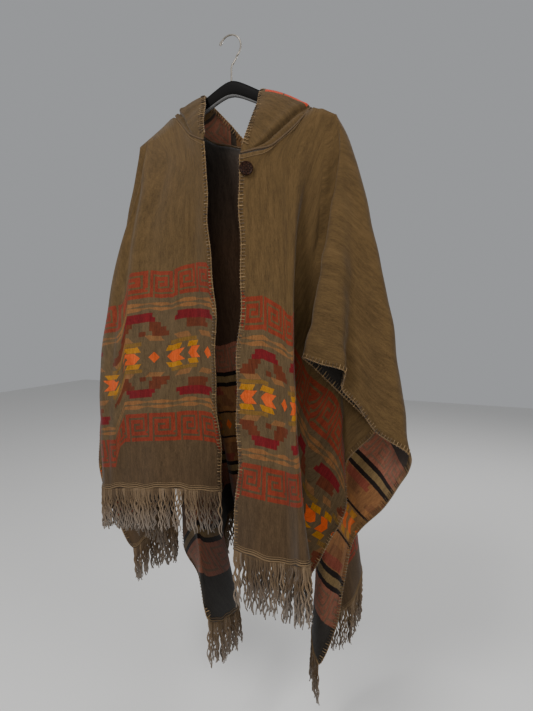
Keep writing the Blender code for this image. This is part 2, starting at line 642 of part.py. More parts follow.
def hook_route():
    """Wire centre from the tip over the bend and down the stem."""
    centre_z = HOOK_WIRE - HOOK_RADIUS
    route = []
    for k in range(HOOK_STEPS + 1):
        angle = math.radians(HOOK_TIP_ANGLE + (HOOK_FOOT_ANGLE - HOOK_TIP_ANGLE) * k / HOOK_STEPS)
        x = HOOK_CENTRE_X + HOOK_RADIUS * math.cos(angle)
        route.append(Vector((x, 0.0, centre_z + HOOK_RADIUS * math.sin(angle))))
    start = route[-1]
    for k in range(1, STEM_STEPS + 1):
        share = k / STEM_STEPS
        z = start.z + (STEM_FOOT_Z - start.z) * share
        x = STEM_X + (start.x - STEM_X) * (1 - smoothstep(share * STEM_BEND))
        route.append(Vector((x, 0.0, z)))
    return route


def add_hook(slot):
    curve = bpy.data.curves.new("hook", "CURVE")
    curve.dimensions = "3D"
    curve.bevel_depth = HOOK_WIRE
    curve.bevel_resolution = 2
    curve.use_fill_caps = True
    spline = curve.splines.new("POLY")
    route = hook_route()
    spline.points.add(len(route) - 1)
    for place, point in zip(route, spline.points):
        point.co = (*place, 1.0)
        point.radius = 1.0
    spline.points[0].radius = TIP_END
    spline.points[1].radius = TIP_BALL
    spline.use_smooth = True
    obj = bpy.data.objects.new("hook", curve)
    curve.materials.append(slot)
    bpy.context.scene.collection.objects.link(obj)


def button(centre, normal):
    """A turned disc with a raised rim and middle."""
    profile = [values_of(row, ("radius", "height")) for row in BUTTON_PROFILE]
    across = Vector((0.0, 0.0, 1.0)).cross(normal).normalized()
    up = normal.cross(across).normalized()
    points = [centre + normal * profile[0][1] * BUTTON_THICK]
    for radius, height in profile[1:-1]:
        for k in range(BUTTON_SIDES):
            angle = 2 * math.pi * k / BUTTON_SIDES
            ring = across * math.cos(angle) + up * math.sin(angle)
            points.append(centre + ring * radius * BUTTON_RADIUS + normal * height * BUTTON_THICK)
    points.append(centre + normal * profile[-1][1] * BUTTON_THICK)
    faces = []
    rings = len(profile) - 2
    for k in range(BUTTON_SIDES):
        m = (k + 1) % BUTTON_SIDES
        faces.append((0, 1 + m, 1 + k))
        for i in range(rings - 1):
            p = 1 + i * BUTTON_SIDES
            faces.append((p + k, p + m, p + m + BUTTON_SIDES, p + k + BUTTON_SIDES))
        p = 1 + (rings - 1) * BUTTON_SIDES
        faces.append((p + k, p + m, len(points) - 1))
    return points, faces


def button_place(columns, points, normals):
    """Centre and direction of the button: on the left front, near the neck end of its edge."""
    tall = len(ROW_SHARES)
    inner = next(i for i, column in enumerate(columns) if column["a"] >= BUTTON_A)
    before, after = columns[inner - 1]["a"], columns[inner]["a"]
    share = (BUTTON_A - before) / (after - before)
    p, q = tall * (inner - 1), tall * inner
    top, below = points[p].lerp(points[q], share), points[p + 1].lerp(points[q + 1], share)
    normal = normals[p + 1].lerp(normals[q + 1], share).normalized()
    lift = WALL / 2 + BUTTON_CLEAR + BUTTON_THICK / 2
    return top + (below - top).normalized() * BUTTON_DOWN + normal * lift, normal


def main():
    clear_scene()
    slots = {name: material(name) for name in MATERIALS}

    columns, sheet, faces = body_surface()
    normals = normals_of(sheet, faces)
    add_mesh("poncho_body", *thicken(sheet, faces, WALL), slots["cloth"])

    hood_points, hood_faces = hood_surface()
    add_mesh("hood", *thicken(hood_points, hood_faces, WALL), slots["hood_cloth"])

    hems = dict(
        fringe_front_left=lambda c: c["b"] > FRONT_LENGTH - NEAR and c["a"] >= 0 and c["end"].x > OPENING_X,
        fringe_front_right=lambda c: c["b"] > FRONT_LENGTH - NEAR and c["a"] <= 0 and c["end"].x < OPENING_X,
        fringe_back=lambda c: c["b"] < NEAR - BACK_LENGTH,
    )
    for name, wanted in hems.items():
        line = hem_line(columns, sheet, normals, wanted)
        add_mesh(name, *fringe(line), slots["yarn"])

    place, normal = button_place(columns, sheet, normals)
    add_mesh("button", *button(place, normal), slots["horn"])

    add_mesh("hanger_body", *hanger_body(), slots["plastic"])
    add_hook(slots["steel"])


main()
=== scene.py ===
"""Looks of the poncho: cloth with its woven bands, stitched edges and fringe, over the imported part."""

import math
import random
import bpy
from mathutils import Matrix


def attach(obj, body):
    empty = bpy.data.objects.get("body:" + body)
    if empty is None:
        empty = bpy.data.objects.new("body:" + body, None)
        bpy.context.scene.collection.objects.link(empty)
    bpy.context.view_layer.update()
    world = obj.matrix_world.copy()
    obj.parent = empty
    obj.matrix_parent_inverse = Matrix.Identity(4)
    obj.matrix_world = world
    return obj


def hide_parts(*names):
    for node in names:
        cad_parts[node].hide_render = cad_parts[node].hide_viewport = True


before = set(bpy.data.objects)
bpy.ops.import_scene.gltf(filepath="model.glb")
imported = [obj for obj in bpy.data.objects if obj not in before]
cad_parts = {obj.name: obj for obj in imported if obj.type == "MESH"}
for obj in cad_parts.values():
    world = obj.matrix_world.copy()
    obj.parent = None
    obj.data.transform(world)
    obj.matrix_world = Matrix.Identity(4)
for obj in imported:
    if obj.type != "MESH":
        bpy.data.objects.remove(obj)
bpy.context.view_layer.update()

from types import SimpleNamespace

import bpy
import numpy as np
from mathutils import Matrix, Vector

random.seed(11)

# Cut of the cloth. A place on it is a, across from the middle and + at the wearer's left,
# and b, along from the shoulder line and + at the front.
HALF_WIDTH = 0.88
FRONT_LENGTH = 0.95
BACK_LENGTH = 1.01

# Where the cloth leaves the hanger's ends
SHOULDER_A = 0.19
SHOULDER_X = 0.205
SHOULDER_Z = -0.198
CAP_SHAPES = {
    1: dict(reach=0.047, rise=0.011, round=0.009),
    -1: dict(reach=0.039, rise=0.000, round=0.000),
}
CAP_RISE_OVER = 0.02
CAP_ROUND_FALL = 9
CAP_HALF_DEPTH = 0.016
CAP_SLOPE = 0.55
CAP_TURN_FROM = -60.0
CAP_TURN_SPAN = 70.0
SHOULDER_EDGE = {1: 0.190, -1: -0.141}
NECK_DEPTH = 0.0185

# Middle of the front opening at the hem, and how near counts as on an edge
OPENING_X = 0.05
NEAR = 1e-4

# Sampling and softening of the sheet, and its thickness
COLUMN_STEP = 0.031
ROW_SHARES = (0.0, 0.05, 0.12, 0.22, 0.34, 0.47, 0.6, 0.73, 0.87, 1.0)
SOFTENING = (0, 36, 34, 20, 10, 6, 3, 2, 1, 0)
BOW_SKEW = 0.8
FINE_COLUMNS = 3
FINE_ROWS = 76
SHELL = 0.0015


def metres(*rows):
    """Rows written in millimetres."""
    return [[value / 1000 for value in row] for row in rows]


# Top of each panel: cloth across, cloth along, then where that point lies
TOP_LEFT_FRONT = metres(
    (0, 160, 74, -105, -296),
    (60, 140, 126, -75, -281),
    (120, 70, 171, -38, -232),
    (160, 10, 191, -16, -194),
    (190, 0, 205, -16, -198),
)
TOP_BACK = metres(
    (190, 0, 205, 16, -198),
    (160, -10, 191, 18, -194),
    (100, -50, 120, 52, -205),
    (0, -90, 20, 66, -238),
    (-80, -60, -85, 54, -213),
    (-130, -10, -142, 18, -163),
    (-190, 0, -205, 16, -198),
)
TOP_RIGHT_FRONT = metres(
    (-190, 0, -205, -16, -198),
    (-130, 10, -142, -18, -163),
    (-90, 70, -105, -40, -195),
    (-40, 110, -64, -70, -233),
    (0, 120, -22, -87, -252),
)

# Folds, in order round the garment from the left opening edge to the right one:
# where the lower end hangs (x, y, z), how far the column bows from the straight line
# to it (x, y), and the cloth there, across and along
FOLDS = metres(
    # left front
    (75, -140, -1124, 0, 10, 0, 950), (138, -152, -1125, 0, 0, 60, 950),
    (199, -140, -1131, -12, 4, 120, 950), (240, -170, -1116, -28, -10, 180, 950),
    # left side
    (250, -152, -1116, -30, -6, 205, 950), (224, -122, -1120, -30, 0, 250, 950),
    (146, -88, -1130, -26, 0, 320, 950), (70, -60, -1140, -22, 0, 440, 950),
    (76, -10, -1155, -20, 0, 560, 950), (130, 26, -1200, -12, 0, 720, 950),
    (163, 45, -1256, 0, 0, 880, 950), (224, 60, -1151, 0, 0, 880, 850),
    (257, 70, -1076, 0, 0, 880, 750), (253, 80, -972, 0, 0, 880, 600),
    (322, 66, -886, 10, 0, 880, 450), (306, 40, -850, 10, 0, 880, 360),
    (252, 10, -790, 4, 0, 880, 200), (205, -24, -735, 0, 0, 880, 70),
    (192, -48, -716, 0, 0, 880, 0), (238, -52, -729, 10, -10, 880, -60),
    (284, -34, -744, 14, -10, 880, -110), (268, -4, -785, 20, 0, 880, -160),
    (300, 8, -821, 24, 0, 880, -210), (341, 0, -872, 30, 0, 880, -280),
    (408, 2, -912, 34, 0, 880, -380), (406, 40, -953, 34, 10, 880, -430),
    (372, 95, -1014, 24, 24, 880, -500), (330, 140, -1086, 14, 30, 880, -580),
    (256, 155, -1178, 8, 30, 880, -690), (234, 146, -1295, 4, 26, 880, -800),
    (220, 134, -1398, 2, 20, 880, -900), (176, 120, -1508, 0, 16, 880, -1010),
    (148, 150, -1470, 0, 16, 820, -1010), (146, 195, -1428, 0, 16, 750, -1010),
    (190, 232, -1426, 0, 16, 660, -1010), (226, 254, -1396, 4, 16, 580, -1010),
    (236, 306, -1340, 6, 12, 500, -1010), (204, 340, -1290, 4, 4, 420, -1010),
    (176, 280, -1235, 0, -10, 300, -1010),
    # back
    (150, 222, -1205, 0, -24, 190, -1010), (105, 278, -1203, 0, -20, 120, -1010),
    (55, 208, -1205, 0, -26, 40, -1010), (5, 218, -1205, 0, -26, -40, -1010),
    (-45, 282, -1203, 4, -20, -120, -1010), (-92, 222, -1205, 16, -24, -190, -1010),
    # right side
    (-132, 270, -1212, 6, -6, -280, -1010), (-162, 362, -1230, 0, 6, -400, -1010),
    (-206, 358, -1260, -8, 10, -500, -1010), (-160, 250, -1360, -14, 6, -660, -1010),
    (-84, 184, -1442, -12, 4, -770, -1010), (-68, 90, -1425, -4, 0, -820, -1010),
    (-74, 2, -1389, 0, 0, -880, -1010), (-112, 22, -1290, 4, 6, -880, -920),
    (-190, 76, -1254, 0, 8, -880, -820), (-209, 120, -1153, 0, 10, -880, -710),
    (-250, 150, -1050, 0, 10, -880, -580), (-325, 208, -958, -10, 12, -880, -450),
    (-405, 252, -880, -20, 14, -880, -310), (-446, 232, -842, -26, 12, -880, -220),
    (-430, 178, -828, -26, 6, -880, -140), (-366, 130, -832, -20, 0, -880, -30),
    (-345, 104, -838, -18, 0, -880, 50), (-376, 84, -850, -22, 0, -880, 120),
    (-410, 66, -878, -24, 0, -880, 220), (-437, 52, -928, -24, 0, -880, 350),
    (-445, 40, -1000, -20, 0, -880, 500), (-434, 36, -1080, -14, 0, -880, 660),
    (-396, 48, -1186, -8, 0, -880, 820), (-353, 66, -1278, -6, 0, -880, 950),
    (-290, 52, -1228, -8, 0, -800, 950), (-222, 38, -1190, -8, 0, -720, 950),
    (-170, 16, -1160, -10, 0, -650, 950), (-194, -10, -1125, -26, 0, -570, 950),
    (-250, -26, -1094, -50, 0, -500, 950), (-308, -44, -1072, -78, 0, -430, 950),
    (-324, -80, -1060, -86, -6, -390, 950), (-292, -114, -1048, -60, -12, -340, 950),
    (-228, -118, -1037, -30, -6, -270, 950),
    # right front
    (-154, -120, -1026, -6, -6, -190, 950), (-62, -100, -1022, 0, 0, -100, 950),
    (5, -70, -1029, 4, 0, 0, 950),
)

# Main creases, in cloth coordinates: from one point to another, how wide,
# and how high, + standing out
CREASES = metres(
    (-55, 160, -75, 930, 26, -3.5), (-135, 100, -150, 930, 30, 4),
    (-105, 550, -110, 950, 20, -3), (-180, 30, -235, 600, 22, -4.5),
    (-20, 300, -150, 340, 10, -1.2), (-219, 60, -243, 550, 8, -9),
    (-238, 360, -330, 990, 8, -9), (-201, 80, -225, 550, 12, 5.5),
    (-220, 360, -311, 990, 12, 5.5), (275, 70, 430, 320, 12, -6),
    (-20, 700, -140, 620, 20, 1.8), (-300, 250, -330, 950, 24, 3),
    (35, 220, 40, 930, 24, -3), (85, 200, 95, 930, 22, 3.2),
    (10, 300, 190, 292, 7, -1.2), (20, 520, 110, 440, 18, 1.6),
    (170, 30, 150, 500, 20, -4), (210, -40, 560, -120, 30, 4),
    (230, -90, 700, -300, 30, -5), (230, -140, 620, -520, 34, 5),
    (400, -200, 860, -340, 26, -3.5), (520, -220, 870, -240, 22, 3),
    (240, -300, 500, -950, 36, -4.5), (330, 200, 800, 520, 30, 3.5),
    (300, 300, 640, 900, 30, -3.5), (-230, -60, -820, -100, 34, -5),
    (-230, -160, -700, -480, 34, 5), (-240, -320, -520, -980, 34, -4.5),
    (-260, 100, -800, 340, 30, 4), (-290, 240, -740, 840, 30, -3.5),
    (130, -120, 150, -960, 26, 4.5), (70, -200, 75, -980, 22, -4.5),
    (0, -300, 5, -980, 24, 4), (-80, -180, -85, -980, 22, -4.5),
    (-150, -100, -160, -960, 26, 4.5), (-170, -300, 170, -310, 7, -1.2),
)

# Hood, lying back: seam point, rim point, how far the cloth between them hangs
# down or rises, and how far it stands out
HOOD_RINGS = metres(
    (75.5, -104, -290.5, 77, -101, -276, 0, 0),
    (100, -90, -283, 79, -90, -256, 4, -4),
    (127, -74, -275.5, 81, -70, -222, 12, -8),
    (172, -36, -225.5, 83, -36, -170, 20, -10),
    (192, -6, -188, 78, 0, -131.5, 13, 2),
    (186, 22, -188.5, 90, 56, -140, 2, 26),
    (154, 39, -195, 96, 97, -152, -50, 51),
    (118, 55, -201, 80, 126, -176, -125, 58),
    (70, 63, -218, 48, 140, -204, -230, 62),
    (20, 69, -234, 10, 142, -214, -250, 64),
    (-35, 64, -222, -32, 136, -192, -232, 62),
    (-84, 57, -209, -66, 122, -152, -125, 52),
    (-114, 40, -184, -86, 92, -126, -20, 34),
    (-138, 23, -160, -80, 52, -126, -8, 30),
    (-143, -8, -156, -66, -4, -124.5, 6, 1),
    (-107, -38, -190, -48, -36, -155, 6, -8),
    (-65, -68, -226.5, -36, -66, -202, 6, -6),
    (-23.5, -86, -246.5, -22, -84, -234, 0, 0),
)
HOOD_STEP = 0.024
HOOD_NEAR = 0.1
HOOD_NEAR_OUT = 0.5
HOOD_FAR = 0.8
HOOD_FINE = 5
HOOD_ROWS = 40

# Crease on the hood's left side: ring, share of the way to the rim, and depth
HOOD_CREASE = (
    (0.9, 0.06, 0.000),
    (1.4, 0.13, 0.004),
    (2.2, 0.19, 0.007),
    (3.2, 0.15, 0.007),
    (4.0, 0.03, 0.004),
    (4.6, 0.00, 0.000),
)
HOOD_CREASE_WIDE = 0.045


# ---------------------------------------------------------------- the sheet

def unit(vectors):
    return vectors / np.maximum(np.linalg.norm(vectors, axis=-1, keepdims=True), 1e-9)


def mix(first, second, share):
    return first + (second - first) * share


def smoothstep(value):
    value = min(max(value, 0.0), 1.0)
    return value * value * (3 - 2 * value)


def ramp(value, start, stop):
    """0 at start, 1 at stop, straight between them."""
    return np.clip((value - start) / (stop - start), 0.0, 1.0)


def lengths(places):
    """Length along a path at each of its places."""
    steps = np.linalg.norm(np.diff(places, axis=0), axis=1)
    return np.concatenate([[0.0], np.cumsum(steps)])


def read_at(values, steps, spots):
    """Values along a path, read at other lengths along it."""
    return np.stack([np.interp(spots, steps, column) for column in values.T], axis=1)


def counts_of(rows, step):
    """How many parts each gap between rows is cut into."""
    return [max(1, round(math.dist(p[:3], q[:3]) / step)) for p, q in zip(rows, rows[1:])]


def smooth_rows(rows, step):
    """Rows made denser by a centripetal Catmull-Rom curve. Each row starts with its place."""
    counts = counts_of(rows, step)
    rows = np.array(rows)
    gaps = [math.sqrt(max(math.dist(p[:3], q[:3]), NEAR)) for p, q in zip(rows, rows[1:])]
    knots = np.concatenate([[0.0], np.cumsum(gaps)])
    rows = [mix(rows[0], rows[1], -1.0), *rows, mix(rows[-2], rows[-1], 2.0)]
    knots = [2 * knots[0] - knots[1], *knots, 2 * knots[-1] - knots[-2]]
    dense = []
    for i, count in enumerate(counts):
        p0, p1, p2, p3 = rows[i : i + 4]
        t0, t1, t2, t3 = knots[i : i + 4]
        for k in range(count):
            t = t1 + (t2 - t1) * k / count
            a1 = mix(p0, p1, (t - t0) / (t1 - t0))
            a2 = mix(p1, p2, (t - t1) / (t2 - t1))
            a3 = mix(p2, p3, (t - t2) / (t3 - t2))
            b1 = mix(a1, a2, (t - t0) / (t2 - t0))
            b2 = mix(a2, a3, (t - t1) / (t3 - t1))
            dense.append(mix(b1, b2, (t - t1) / (t2 - t1)))
    return np.array(dense + [rows[-2]])


def along(values, knots, wanted):
    """Smooth curve through the values at the knots, read at the wanted places."""
    knots = np.asarray(knots, float)
    slopes = np.gradient(values, knots, axis=0)
    at = np.clip(np.searchsorted(knots, wanted, "right") - 1, 0, len(knots) - 2)
    width = knots[at + 1] - knots[at]
    t = (wanted - knots[at]) / width
    shape = (-1,) + (1,) * (values.ndim - 1)
    t, width = t.reshape(shape), width.reshape(shape)
    return (
        values[at] * (2 * t**3 - 3 * t**2 + 1)
        + slopes[at] * width * (t**3 - 2 * t**2 + t)
        + values[at + 1] * (3 * t**2 - 2 * t**3)
        + slopes[at + 1] * width * (t**3 - t**2)
    )


def finer(rows, parts):
    """Rows with others between them, on a smooth curve, and each one's place among the rows."""
    index = np.arange(len(rows), dtype=float)
    wanted = np.linspace(0.0, len(rows) - 1, (len(rows) - 1) * parts + 1)
    return along(rows, index, wanted), wanted


def table_at(table, a):
    """Cloth along and place (b, x, y, z) in a table of tops, at cloth position a."""
    across, *columns = np.array(sorted(table)).T
    return [np.interp(a, across, column) for column in columns]


def column_top(a, b, left):
    """Where a column starts, the cloth there, and how far it swells just below."""
    if abs(a) < SHOULDER_A:
        front = TOP_LEFT_FRONT if left else TOP_RIGHT_FRONT
        start, *place = table_at(TOP_BACK if b < 0 else front, a)
        return place, (a, start), 0.0
    side = math.copysign(1.0, a)
    shape = CAP_SHAPES[int(side)]
    angle = math.atan2(b, abs(a) - SHOULDER_A)
    reach = shape["reach"] * math.cos(angle)
    turned = smoothstep((math.degrees(angle) - CAP_TURN_FROM) / CAP_TURN_SPAN)
    rise = shape["rise"] * smoothstep(reach / CAP_RISE_OVER)
    y, z = CAP_HALF_DEPTH * (1 - 2 * turned), SHOULDER_Z - CAP_SLOPE * reach + rise
    cloth = (side * (SHOULDER_A + reach), CAP_HALF_DEPTH * math.sin(angle))
    return (side * (SHOULDER_X + reach), y, z), cloth, side * shape["round"] * math.cos(angle)


def sheet_grid():
    """Places (columns, rows, 3) and cloth coordinates (columns, rows, 2) of the fine sheet."""
    shares = np.array(ROW_SHARES)[:, None]
    widest = 1 / (CAP_ROUND_FALL + 1)
    bulge = np.sin(math.pi * shares**BOW_SKEW)
    swell = shares * (1 - shares) ** CAP_ROUND_FALL / (widest * (1 - widest) ** CAP_ROUND_FALL)
    coarse, starts, ends = [], [], []
    for index, (x, y, z, bx, by, a, b) in enumerate(smooth_rows(FOLDS, COLUMN_STEP)):
        a = min(max(a, -HALF_WIDTH), HALF_WIDTH)
        b = min(max(b, -BACK_LENGTH), FRONT_LENGTH)
        top, start, out = column_top(a, b, a > NEAR or index == 0)
        straight = mix(np.array(top), np.array((x, y, z)), shares)
        coarse.append(straight + np.array((bx, by, 0.0)) * bulge + np.array((out, 0.0, 0.0)) * swell)
        starts.append(start)
        ends.append((a, b))
    coarse = np.array(coarse)
    # folds grow round and shallow towards the shoulders
    for j, passes in enumerate(SOFTENING):
        row = coarse[:, j]
        for _ in range(passes):
            row[1:-1] = (row[:-2] + row[1:-1] * 2 + row[2:]) / 4
    shares = np.linspace(0.0, 1.0, FINE_ROWS)
    rows = along(coarse.transpose(1, 0, 2), ROW_SHARES, shares).transpose(1, 0, 2)
    fine, wanted = finer(rows, FINE_COLUMNS)
    index = np.arange(len(coarse))
    first, last = (read_at(np.array(v), index, wanted)[:, None, :] for v in (starts, ends))
    return fine, mix(first, last, shares[None, :, None])


def hood_grid():
    """Places of the hood, and its cloth: along the rim, and up from it."""
    dense, _ = finer(smooth_rows(HOOD_RINGS, HOOD_STEP), HOOD_FINE)
    seam, rim, lift, out = dense[:, 0:3], dense[:, 3:6], dense[:, 6], dense[:, 7]
    near = mix(seam, rim, HOOD_NEAR) + np.stack([lift * 0, out * HOOD_NEAR_OUT, lift], axis=1)
    far = mix(seam, rim, HOOD_FAR) + np.stack([lift * 0, out, lift], axis=1)
    s = np.linspace(0.0, 1.0, HOOD_ROWS)[None, :, None]
    r = 1 - s
    seam, near, far, rim = (v[:, None, :] for v in (seam, near, far, rim))
    grid = seam * r**3 + near * 3 * r**2 * s + far * 3 * r * s**2 + rim * s**3
    u = np.repeat(lengths(grid[:, -1])[:, None], HOOD_ROWS, axis=1)
    v = np.array([lengths(line) for line in grid])
    return grid, np.stack([u, v[:, -1:] - v], axis=2)


def grid_normals(grid):
    return unit(np.cross(np.gradient(grid, axis=1), np.gradient(grid, axis=0)))


def grid_faces(wide, tall):
    k = (np.arange(wide - 1)[:, None] * tall + np.arange(tall - 1)[None, :]).reshape(-1)
    return np.stack([k, k + 1, k + tall + 1, k + tall], axis=1).tolist()


def zip_shoulder(front, back, reach):
    """Triangles between two chains that run outwards and end on the same point."""
    faces = []
    i = j = 0
    while i < len(front) - 1 or j < len(back) - 1:
        step_front = j == len(back) - 1
        if not step_front and i < len(front) - 1:
            step_front = reach[front[i + 1]] <= reach[back[j + 1]]
        if step_front:
            corner = (front[i], front[i + 1], back[j])
            i += 1
        else:
            corner = (front[i], back[j + 1], back[j])
            j += 1
        if len(set(corner)) == 3:
            faces.append(corner)
    return faces


def shoulder_faces(grid):
    """Faces that close the shoulder lines over the hanger."""
    wide, tall = grid.shape[:2]
    faces = []
    for side in (1, -1):
        reach, depth = side * grid[:, 0, 0], abs(grid[:, 0, 1])
        least = side * SHOULDER_EDGE[side] - NEAR
        on = [i for i in range(wide) if depth[i] < NECK_DEPTH and reach[i] >= least]
        tip = on.index(max(on, key=lambda i: reach[i]))
        for corner in zip_shoulder(on[: tip + 1], on[tip:][::-1], reach):
            faces.append(tuple(i * tall for i in corner))
    return faces


def crease(grid, normals, cloth):
    """Soft troughs and ridges, and a slow uneven wave over the whole cloth."""
    a, b = cloth[:, :, 0], cloth[:, :, 1]
    height = np.zeros_like(a)
    for number, (a0, b0, a1, b1, wide, high) in enumerate(CREASES):
        length = math.hypot(a1 - a0, b1 - b0)
        run_a, run_b = (a1 - a0) / length, (b1 - b0) / length
        s = ((a - a0) * run_a + (b - b0) * run_b) / length
        wander = 0.25 * wide * np.sin(5.0 * s + 1.7 * number)
        off = ((a - a0) * run_b - (b - b0) * run_a + wander) / wide
        ends = np.clip(4.5 * s, 0, 1) * np.clip(4.5 * (1 - s), 0, 1)
        uneven = 0.8 + 0.2 * np.sin(7.0 * s + 2.3 * number)
        height += high * uneven * np.exp(-off * off) * ends * ends * (3 - 2 * ends)
    wave = np.sin(math.tau * (a / 0.118 + 0.35 * np.sin(4.1 * b + 0.6))) * 0.0011
    wave += np.sin(math.tau * (a / 0.073 + b / 0.55)) * 0.0007
    wave += np.sin(math.tau * (b / 0.161 + 0.4 * np.sin(9.0 * a))) * 0.0006
    moved = grid + normals * (height + wave * ramp(np.hypot(a, b), 0.15, 0.65))[:, :, None]
    # the opening's edges sway a little
    near = np.exp(-((a / 0.05) ** 2)) * (b > 0) * ramp(b, 0.2, 0.3)
    side = np.where(moved[:, :, 0] > 0.5 * OPENING_X, 1.0, -1.0)
    moved[:, :, 0] += (0.0040 * np.sin(17.0 * b + 0.8 * side) + 0.0022 * np.sin(41.0 * b + side)) * near
    return moved


def fill_shoulder(grid):
    """The left shoulder line runs on smoothly from the hood."""
    x, z = grid[:, :, 0], grid[:, :, 2]
    grid[:, :, 2] += 0.006 * np.exp(-(((x - 0.206) / 0.009) ** 2) - ((z + 0.196) / 0.014) ** 2)


def crease_hood(grid, normals):
    """A deep trough where the hood folds over its neck seam, alike on the hidden right side."""
    rings = len(HOOD_RINGS) - 1
    starts = np.concatenate([[0], np.cumsum(counts_of(HOOD_RINGS, HOOD_STEP))])
    places = np.interp(np.arange(len(grid)) / HOOD_FINE, starts, range(rings + 1))
    at, share, depth = np.array(HOOD_CREASE).T
    shares = np.linspace(0.0, 1.0, grid.shape[1])[None, :]
    for ring in (places, rings - places):
        centre = np.interp(ring, at, share)[:, None]
        deep = np.interp(ring, at, depth, left=0.0, right=0.0)[:, None]
        trough = np.exp(-(((shares - centre) / HOOD_CREASE_WIDE) ** 2))
        ridge = 0.5 * np.exp(-(((shares - centre - 0.11) / 0.07) ** 2))
        grid += normals * (deep * (ridge - trough) * np.minimum(1.0, shares / 0.03))[:, :, None]


def band_places(cloth):
    """Where the woven bands lie: they step down past the right front's fold and on the left
    flap, sit closer on the left front, and lie lower on the middle of the back."""
    a, b = cloth[:, :, 0], cloth[:, :, 1]
    fold = -0.222 - 0.115 * np.clip(b - 0.30, 0.0, 1.0) ** 1.4
    past = ramp(-a, -fold, 0.007 - fold)
    top = ramp(-b, -0.60, -0.50) * ramp(-a, 0.05, 0.12)
    right = (0.024 + 0.014 * top) * (1.0 - past) - 0.040 * past
    right *= ramp(-a, 0.0, 0.005) * ramp(a, -0.62, -0.42)
    left = 0.09 * (b - 0.64) * ramp(a, 0.0, 0.005) * ramp(-a, -0.45, -0.25)
    flap = 0.10 * ramp(a, 0.25, 0.55) + 0.30 * np.clip(a - 0.55, 0.0, 1.0) * ramp(b, 0.45, 0.62)
    back = 0.040 * ramp(-np.abs(a), -0.46, -0.26) * ramp(-b, 0.0, 0.25)
    corner = 0.030 * ramp(a, 0.50, 0.70) * ramp(b, -0.82, -0.62) * ramp(-b, 0.20, 0.40)
    places = cloth.copy()
    places[:, :, 1] = b + ramp(b, 0.0, 0.25) * (right + left - flap) + back - corner
    return places


# ---------------------------------------------------------------- materials

def linear(*levels):
    return tuple(((v / 255 + 0.055) / 1.055) ** 2.4 if v > 10 else v / 255 / 12.92 for v in levels)


WOOL = linear(96, 75, 46)
# Painted shade: the plain wool turns darker and greyer towards the hems, standing in for light that
# falls off downwards
WOOL_PAINTED_SHADE = tuple(value * share for value, share in zip(WOOL, (0.72, 0.73, 0.95)))
OLIVE = linear(94, 76, 52)
MOSS = linear(124, 90, 34)
RED = linear(130, 48, 30)
CRIMSON = linear(110, 24, 28)
RUST = linear(98, 44, 24)
TAN = linear(134, 90, 52)
MUSTARD = linear(164, 110, 26)
ORANGE = linear(202, 84, 32)

# The reverse
INSIDE = linear(60, 51, 42)
INSIDE_LOW = linear(50, 46, 42)
# painted light: the reverse's lighter, warmer tone high up behind the fronts, where it lies in shade
INSIDE_PAINTED_LIGHT = linear(62, 46, 34)
SALMON = linear(106, 82, 64)
BLACK = linear(28, 21, 18)

# The band, by m, the distance from its middle line
CLOTH_MIDDLE = -0.03
BAND_MIDDLE = 0.6675
KEY_TALL = 0.072
KEY_PITCH = 0.063
KEY_FROM = 0.1440
LENS_AT = 0.1210
LENS_LONG = 0.032
STEP_PITCH = 0.140
STEP_FROM = 0.0500
STEP_TALL = 0.0530
STEP_BAR_FROM = 0.6
CHEVRON_PITCH = 0.0505
CHEVRON_TALL = 0.0142
LOZENGE = (0.0130, 0.0145)

# On the hood: the red of the outer band, and the share of each repeat inside that is keys
RED_FROM = -0.046
RED_WIDE = 0.012
HOOD_KEY = 0.38

# Dashes: distance from the band's middle line, slant, shift along, pitch, half length, half height
TAN_DASHES = (0.0450, 0.9, 0.00, STEP_PITCH / 2, 0.018, 0.0062)
MOSS_DASHES = (0.0335, 0.0, 0.03, STEP_PITCH, 0.036, 0.0045)

KEY_CHART = (
    "##############.",
    "##############.",
    "##..........##.",
    "##.########.##.",
    "##.########.##.",
    "##.##....##.##.",
    "##.##.#####.##.",
    "##.##.#####.##.",
    "##.##.......##.",
    "##.##########..",
    "##.###########.",
    "##.............",
    "##.############",
    "##.############",
)
OPEN_CHART = (
    ".#####....##..######",
    "..#####......######.",
    "....####.....####...",
    ".....##########.....",
    "......########......",
)
SOLID_CHART = (
    "....................",
    "......##########....",
    "......#########.....",
    "..################..",
    "...##############...",
)

# Uneven wool: stretch across, scale, detail, roughness and share of the tone
GRAINS = dict(
    streak=(6.0, 52.0, 4.0, 0.65, 0.32),
    slub=(6.0, 15.0, 2.0, 0.5, 0.24),
    fleck=(4.0, 170.0, 2.0, 0.6, 0.22),
    grain=(1.6, 460.0, 2.0, 0.6, 0.12),
    cloud=(1.0, 6.0, 3.0, 0.5, 0.10),
)


def put(socket, value):
    """Links a value to a socket, or sets the socket itself."""
    if isinstance(value, Value):
        socket.id_data.links.new(value.socket, socket)
    elif isinstance(value, tuple):
        socket.default_value = (*value, 1.0)
    else:
        socket.default_value = value


def method(operation):
    """A method of Value that adds one math node."""
    return lambda self, second=0.0: self.math(operation, second)


